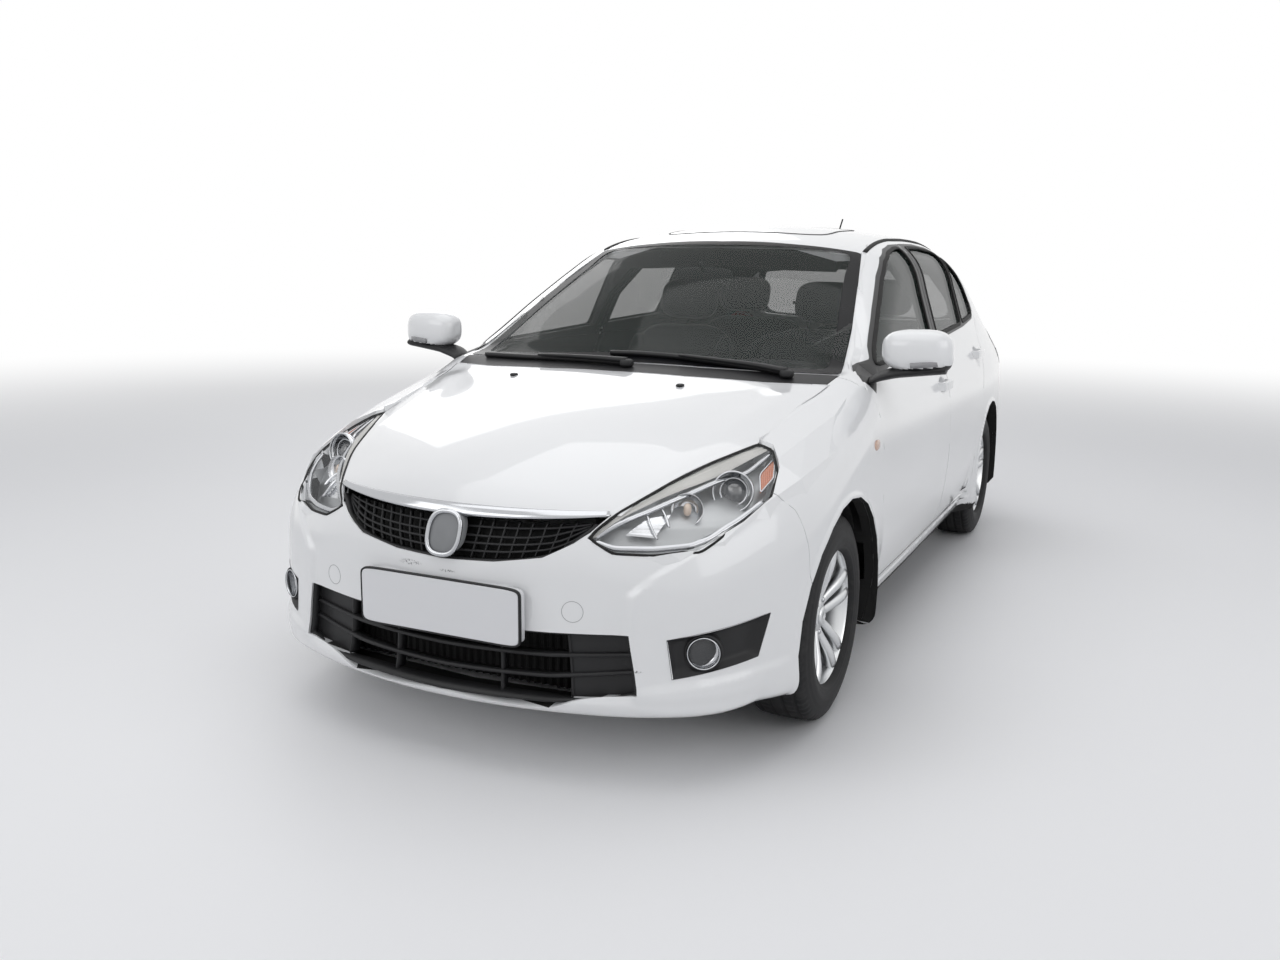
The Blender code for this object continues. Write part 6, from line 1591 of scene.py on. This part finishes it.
# The steering wheel: a grip ring, three flat spokes and a padded hub, all tilted back together
def addCabinPieces():
    s = cabinSizes
    tilt = math.radians(s["tilt"])
    way = np.array([0, math.cos(tilt), math.sin(tilt)])
    up = np.array([0, -math.sin(tilt), math.cos(tilt)])
    right = np.array([1.0, 0, 0])
    centre = np.array(s["wheel"])
    a = circle(72)[:, None]
    ring = centre + (right * np.cos(a) + up * np.sin(a)) * s["rim"]
    outwardWay = right * np.cos(a) + up * np.sin(a)
    shapes = [sweep(ring, outwardWay, roundSection(s["grip"], 14), True)]
    t = np.linspace(0, 1, 14)[:, None]
    for angle in (math.radians(8), math.radians(172), math.radians(270)):
        d = right * math.cos(angle) + up * math.sin(angle)
        path = centre + d * (0.045 + (s["rim"] - 0.045) * t) - way * 0.022 * (1 - t)
        shapes.append(sweep(path, way, flatTop(0.022, 0.006, 0.020, 0.004)))
    turn = np.stack([right, up, way], 1)
    shapes.append(roundedBlock(centre - way * 0.024, (0.150, 0.125, 0.050), 3.0, turn))
    column = np.stack([centre - way * k for k in np.linspace(0.03, 0.17, 10)], 0)
    shapes.append(sweep(column, right, roundSection(0.042, 16)))
    wheel = merged(addMesh("steeringWheelFull", *joined(*shapes), "trim", "body", "dark_trim"), 0.0002)
    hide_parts("steering_wheel")
    for k, x in enumerate((-1, 1)):
        reach = np.linspace(0.03, 0.150, 10)[:, None]
        stalk = centre - way * 0.075 + up * 0.02 + right * x * reach
        merged(addMesh("stalk_" + str(k), *sweep(stalk, way, roundSection(0.007, 10)), "plastic", "body",
                       "dark_trim"))
    at = np.array(s["mirror"])
    stem = np.stack([at + [0, -0.020 - 0.025 * q, 0.020 + 0.032 * q] for q in np.linspace(0, 1, 8)], 0)
    rear = joined(roundedBlock(at, s["mirrorSize"], 3.4), sweep(stem, [1.0, 0, 0], roundSection(0.008, 10)))
    merged(addMesh("insideMirror", *rear, "trim", "body", "dark_trim"), 0.0002)
    hood = roundedBlock(*s["hood"])
    stack = roundedBlock(*s["stack"], turnX(math.radians(s["stackLean"])))
    dials = [turned(s["dial"], at, s["dialWay"], 40) for at in s["dials"]]
    merged(addMesh("dashDetail", *joined(hood, stack, *dials), "trim", "body", "dark_trim"), 0.0002)
    vents = []
    y, low = s["ventAt"]
    for x in s["vents"]:
        for k in range(5):
            across = np.linspace(x - s["ventHalf"], x + s["ventHalf"], 8)
            line = np.stack([across, np.full(8, y), np.full(8, low + s["ventPitch"] * k)], -1)
            vents.append(sweep(line, [0, 1.0, 0.2], flatTop(0.002, 0.012, 0.002, 0.002)))
    merged(addMesh("dashVents", *joined(*vents), "plastic", "body", "dark_trim"), 0.00002)


addSeats()
addCabinPieces()
print("seats and cabin pieces made")


tailSizes = {
    "bedZ": 0.810, "bed": (0.520, 0.170), "rim": 0.030,
    "handle": (0.300, 0.922),
    "handleSection": [(-0.017, -0.004), (-0.017, 0.010), (-0.012, 0.017), (0.012, 0.017),
                                                (0.017, 0.010), (0.017, -0.004)],
    "wiper": [(0.0, 1.040), (-0.060, 1.062), (-0.200, 1.078), (-0.370, 1.090)], "stop": (0.130, 1.336),
    "reflectors": (0.520, 0.640, 0.405), "flap": (1.560, 0.905, 0.075), "pipe": (0.324, 2.105, 0.163),
    "pipeRadius": 0.027,
    "pipeProfile": [(0.86, 0.022), (1.0, 0.024), (1.06, 0.018), (1.04, -0.070), (0.90, -0.074),
                                         (0.88, -0.050)],
    "clear": ([(0.805, 1.715, 0.850), (0.745, 1.905, 0.845), (0.622, 2.035, 0.850)],
              [(0.803, 1.700, 0.892), (0.735, 1.900, 0.895), (0.620, 2.025, 0.895)]),
}


# A closed ring between an outline and the same outline moved inwards by a width, on the skin
def ringOn(outline, view, width, outside, rows=7):
    full = spaced(outline, 0.020, True)
    inner = softened(full + unit(full.mean(axis=0) - full) * width, 3, True)
    shares = np.linspace(0, 1, rows)
    points = np.stack([onBody(full * (1 - t) + inner * t, view, outside) for t in shares], 1).reshape(-1, 3)
    return outward((points, gridFaces(len(full), rows, True, False)))


# A filled rounded rectangle on the tail: superellipse rings from the middle out
def tailPatch(centre, size, outside, power=8.0, rings=8, steps=72):
    edge = softSquare(*size, power, steps)
    rows = [onBody(np.asarray(centre) + edge * k, "tail", outside) for k in np.linspace(0.02, 1, rings)]
    rows.append(onBody(np.asarray(centre) + edge * 1.01, "tail", -0.004))
    points = np.concatenate(rows)
    return outward((points, gridFaces(rings + 1, steps, False, True) + [list(range(steps))[::-1]]))


def levelOnTail(near, far, z, steps):
    x = np.linspace(near, far, steps)
    return x, onBody(np.stack([x, np.full_like(x, z)], -1), "tail")


def addTail():
    s = tailSizes
    body = "tailgate"
    addMesh("rearPlateBed", *tailPatch((0, s["bedZ"]), s["bed"], 0.002), "plastic", body, "black_plastic")
    half, z = s["handle"]
    x, path = levelOnTail(-half, half, z, 41)
    narrow = 1 - 0.45 * ease(0.80, 1.0, np.abs(x) / half)
    addMesh("tailHandle", *sweep(path, wayOut(path), s["handleSection"], False, narrow), "paint", body,
            "white_paint")
    outline = np.array(outlines["rearPane"])
    outline = np.concatenate([outline, outline[::-1][1:-1] * [-1, 1]])
    addMesh("rearPaneBorder", *ringOn(outline, "tail", s["rim"], 0.0022), "gloss", body, "black_plastic")
    line = softened(spaced(s["wiper"], 0.02), 3)
    blade = onBody(line, "tail", 0.012)
    arm = onBody(line[: int(len(line) * 0.6)] - [0, 0.008], "tail", 0.026)
    shape = joined(sweep(blade, wayOut(blade),
                         [(-0.004, -0.009), (0.004, -0.009), (0.007, 0.001), (0.003, 0.007),
                                                (-0.003, 0.007), (-0.007, 0.001)]),
                   sweep(arm, wayOut(arm), flatTop(0.009, 0.004, 0.006, 0.005), False,
                         np.linspace(1.2, 0.6, len(arm))),
                   roundedBlock(arm[0] + [0, -0.006, -0.004], (0.050, 0.036, 0.040), 3.0))
    merged(addMesh("rearWiper", *shape, "plastic", body, "black_plastic"), 0.00005)
    half, z = s["stop"]
    x, path = levelOnTail(-half, half, z, 25)
    section = [(-0.008, -0.003), (-0.008, 0.003), (-0.005, 0.006), (0.005, 0.006), (0.008, 0.003),
               (0.008, -0.003)]
    addMesh("stopLamp", *sweep(path, wayOut(path), section), "redLens", body, "red_lens")
    pipe = turned(np.array(s["pipeProfile"]) * [s["pipeRadius"], 1], s["pipe"], (0, 1.0, 0), 48)
    merged(addMesh("tailpipeEnd", *pipe, "chrome", "body", "chassis_steel"), 0.00001)
    near, far, z = s["reflectors"]
    x, path = levelOnTail(near, far, z, 15)
    reflector = sweep(path, wayOut(path), np.array(section) * [1.6, 0.8])
    gasketPath = onto(softened(spaced(outlines["tailLamp"], 0.010, True), 2, True), 0.0)
    gasket = sweep(gasketPath, wayOut(gasketPath),
                   [(-0.004, -0.006), (0.003, -0.006), (0.002, 0.0012), (-0.002, 0.0012)], True)
    clear = outward(between(*s["clear"], -0.0012, 7, 0.0010, 40, 29))
    for side, sign in sides:
        addMesh("reflector_" + side, *onSide(sign, reflector), "redLens", "body", "red_lens")
        addMesh("tailGasket_" + side, *onSide(sign, gasket), "gasket", "body", "black_plastic")
        addMesh("tailClear_" + side, *onSide(sign, clear), "stripLens", "body", "lamp_glass")


# The fuel flap's seam, on the right
def addFuelFlap():
    s = tailSizes
    y, z, r = s["flap"]
    path = onBody(softSquare(2 * r, 2 * r, 4, 64) + [y, z], "side")
    seam = sweep(path, wayOut(path), flatTop(0.0012, 0.002, 0.0009, 0.0004), True)
    addMesh("fuelFlapSeam", *mirrored(seam), "gasket", "body", "black_plastic")


addTail()
addFuelFlap()
print("tail dressed")

# What stays as the solids are gets its finish here
for node, name in (("antenna", "gasket"), ("front_subframe", "steel"), ("rear_axle", "steel"),
                   ("engine", "cast"),
                   ("exhaust", "steel"), ("dashboard", "trim"), ("knuckle_left", "cast"),
                   ("knuckle_right", "cast")):
    data = bpy.data.objects[node].data
    data.materials.clear()
    data.materials.append(look[name])

stageSizes = {"floor": (0.86, 0.86, 0.865), "half": 60.0, "fade": (4.0, 13.0), "background": 1.0,
              "fill": 0.45}


# The floor is pale and keeps the car's shadow; the world is white where the camera, gloss or glass sees it
def makeStage():
    g = Graph("paleFloor")
    drift = g.noise(0.8, 3.0)
    tone = g.mixColor(drift, tuple(c * 0.985 for c in stageSizes["floor"]), stageSizes["floor"])
    floorLook = g.finish(Base_Color=tone, Roughness=0.55)
    far = g.add("ShaderNodeVectorMath", {"operation": "LENGTH"}, {0: g.place()}, 1).band(*stageSizes["fade"])
    seen = g.add("ShaderNodeLightPath")
    for output in (3, 6):                   # gloss and glass see the background too
        ray = g.add("ShaderNodeLightPath", {}, {}, output)
        seen = g.add("ShaderNodeMath", {"operation": "MAXIMUM"}, {0: seen, 1: ray})
    plain = g.add("ShaderNodeEmission", {}, {"Color": (1, 1, 1, 1), "Strength": 1.0})
    blend = g.add("ShaderNodeMixShader", {}, {0: far * seen, 1: Value(g, g.shader.outputs[0]), 2: plain})
    g.tree.links.new(blend.socket, g.tree.nodes["Material Output"].inputs["Surface"])
    half = stageSizes["half"]
    corners = [(-half, -half, 0), (half, -half, 0), (half, half, 0), (-half, half, 0)]
    mesh = bpy.data.meshes.new("floor")
    mesh.from_pydata(corners, [], [(0, 1, 2, 3)])
    mesh.materials.append(floorLook)
    floor = bpy.data.objects.new("floor", mesh)
    bpy.context.scene.collection.objects.link(floor)
    world = bpy.data.worlds.new("studio")
    bpy.context.scene.world = world
    world.use_nodes = True
    tree = world.node_tree
    plain = tree.nodes["Background"]
    plain.inputs["Color"].default_value = (0.93, 0.95, 1.0, 1)
    plain.inputs["Strength"].default_value = stageSizes["fill"]
    white = tree.nodes.new("ShaderNodeBackground")
    white.inputs["Color"].default_value = (1, 1, 1, 1)
    white.inputs["Strength"].default_value = stageSizes["background"]
    rays = tree.nodes.new("ShaderNodeLightPath")
    seen = rays.outputs["Is Camera Ray"]
    for name in ("Is Transmission Ray", "Is Glossy Ray"):
        either = tree.nodes.new("ShaderNodeMath")
        either.operation = "MAXIMUM"
        tree.links.new(seen, either.inputs[0])
        tree.links.new(rays.outputs[name], either.inputs[1])
        seen = either.outputs[0]
    mix = tree.nodes.new("ShaderNodeMixShader")
    for k, socket in enumerate((seen, plain.outputs[0], white.outputs[0])):
        tree.links.new(socket, mix.inputs[k])
    tree.links.new(mix.outputs[0], tree.nodes["World Output"].inputs["Surface"])


lamps = {
    "over": {"at": (0.0, -1.0, 5.2), "aim": (0.0, -0.2, 0.6), "size": (5.5, 7.5), "power": 120.0},
    "left": {"at": (5.6, -2.4, 3.0), "aim": (0.4, -0.6, 0.6), "size": (5.0, 3.0), "power": 60.0},
    "front": {"at": (-2.4, -6.4, 3.2), "aim": (0.0, -1.2, 0.5), "size": (5.0, 2.6), "power": 60.0},
    "back": {"at": (-3.8, 4.6, 3.6), "aim": (0.0, 0.6, 0.7), "size": (5.0, 3.0), "power": 50.0},
}
for name, lamp in lamps.items():
    data = bpy.data.lights.new(name, "AREA")
    data.shape = "RECTANGLE"
    data.size, data.size_y = lamp["size"]
    data.energy = lamp["power"]
    light = bpy.data.objects.new(name, data)
    light.location = lamp["at"]
    way = Vector(lamp["aim"]) - Vector(lamp["at"])
    light.rotation_euler = way.to_track_quat("-Z", "Y").to_euler()
    bpy.context.scene.collection.objects.link(light)
makeStage()

cameraSizes = {"at": (1.662, -4.437, 1.342), "turn": 25.36, "tilt": 11.18, "roll": 0.71, "lens": 31.69}


# The camera looks back along the line that the photograph was taken on, rolled a little
def makeCamera():
    a, e, r = [math.radians(cameraSizes[k]) for k in ("turn", "tilt", "roll")]
    back = Vector((math.sin(a) * math.cos(e), -math.cos(a) * math.cos(e), math.sin(e)))
    x = Vector((0, 0, 1)).cross(back).normalized()
    y = back.cross(x)
    x2 = x * math.cos(r) + y * math.sin(r)
    y2 = y * math.cos(r) - x * math.sin(r)
    data = bpy.data.cameras.new("camera")
    data.lens = cameraSizes["lens"]
    data.sensor_width = 36.0
    camera = bpy.data.objects.new("camera", data)
    bpy.context.scene.collection.objects.link(camera)
    turn = Matrix((x2, y2, back)).transposed().to_4x4()
    camera.matrix_world = Matrix.Translation(cameraSizes["at"]) @ turn
    bpy.context.scene.camera = camera


makeCamera()
bpy.context.scene.view_settings.view_transform = "Standard"
print("camera, lights and floor set")
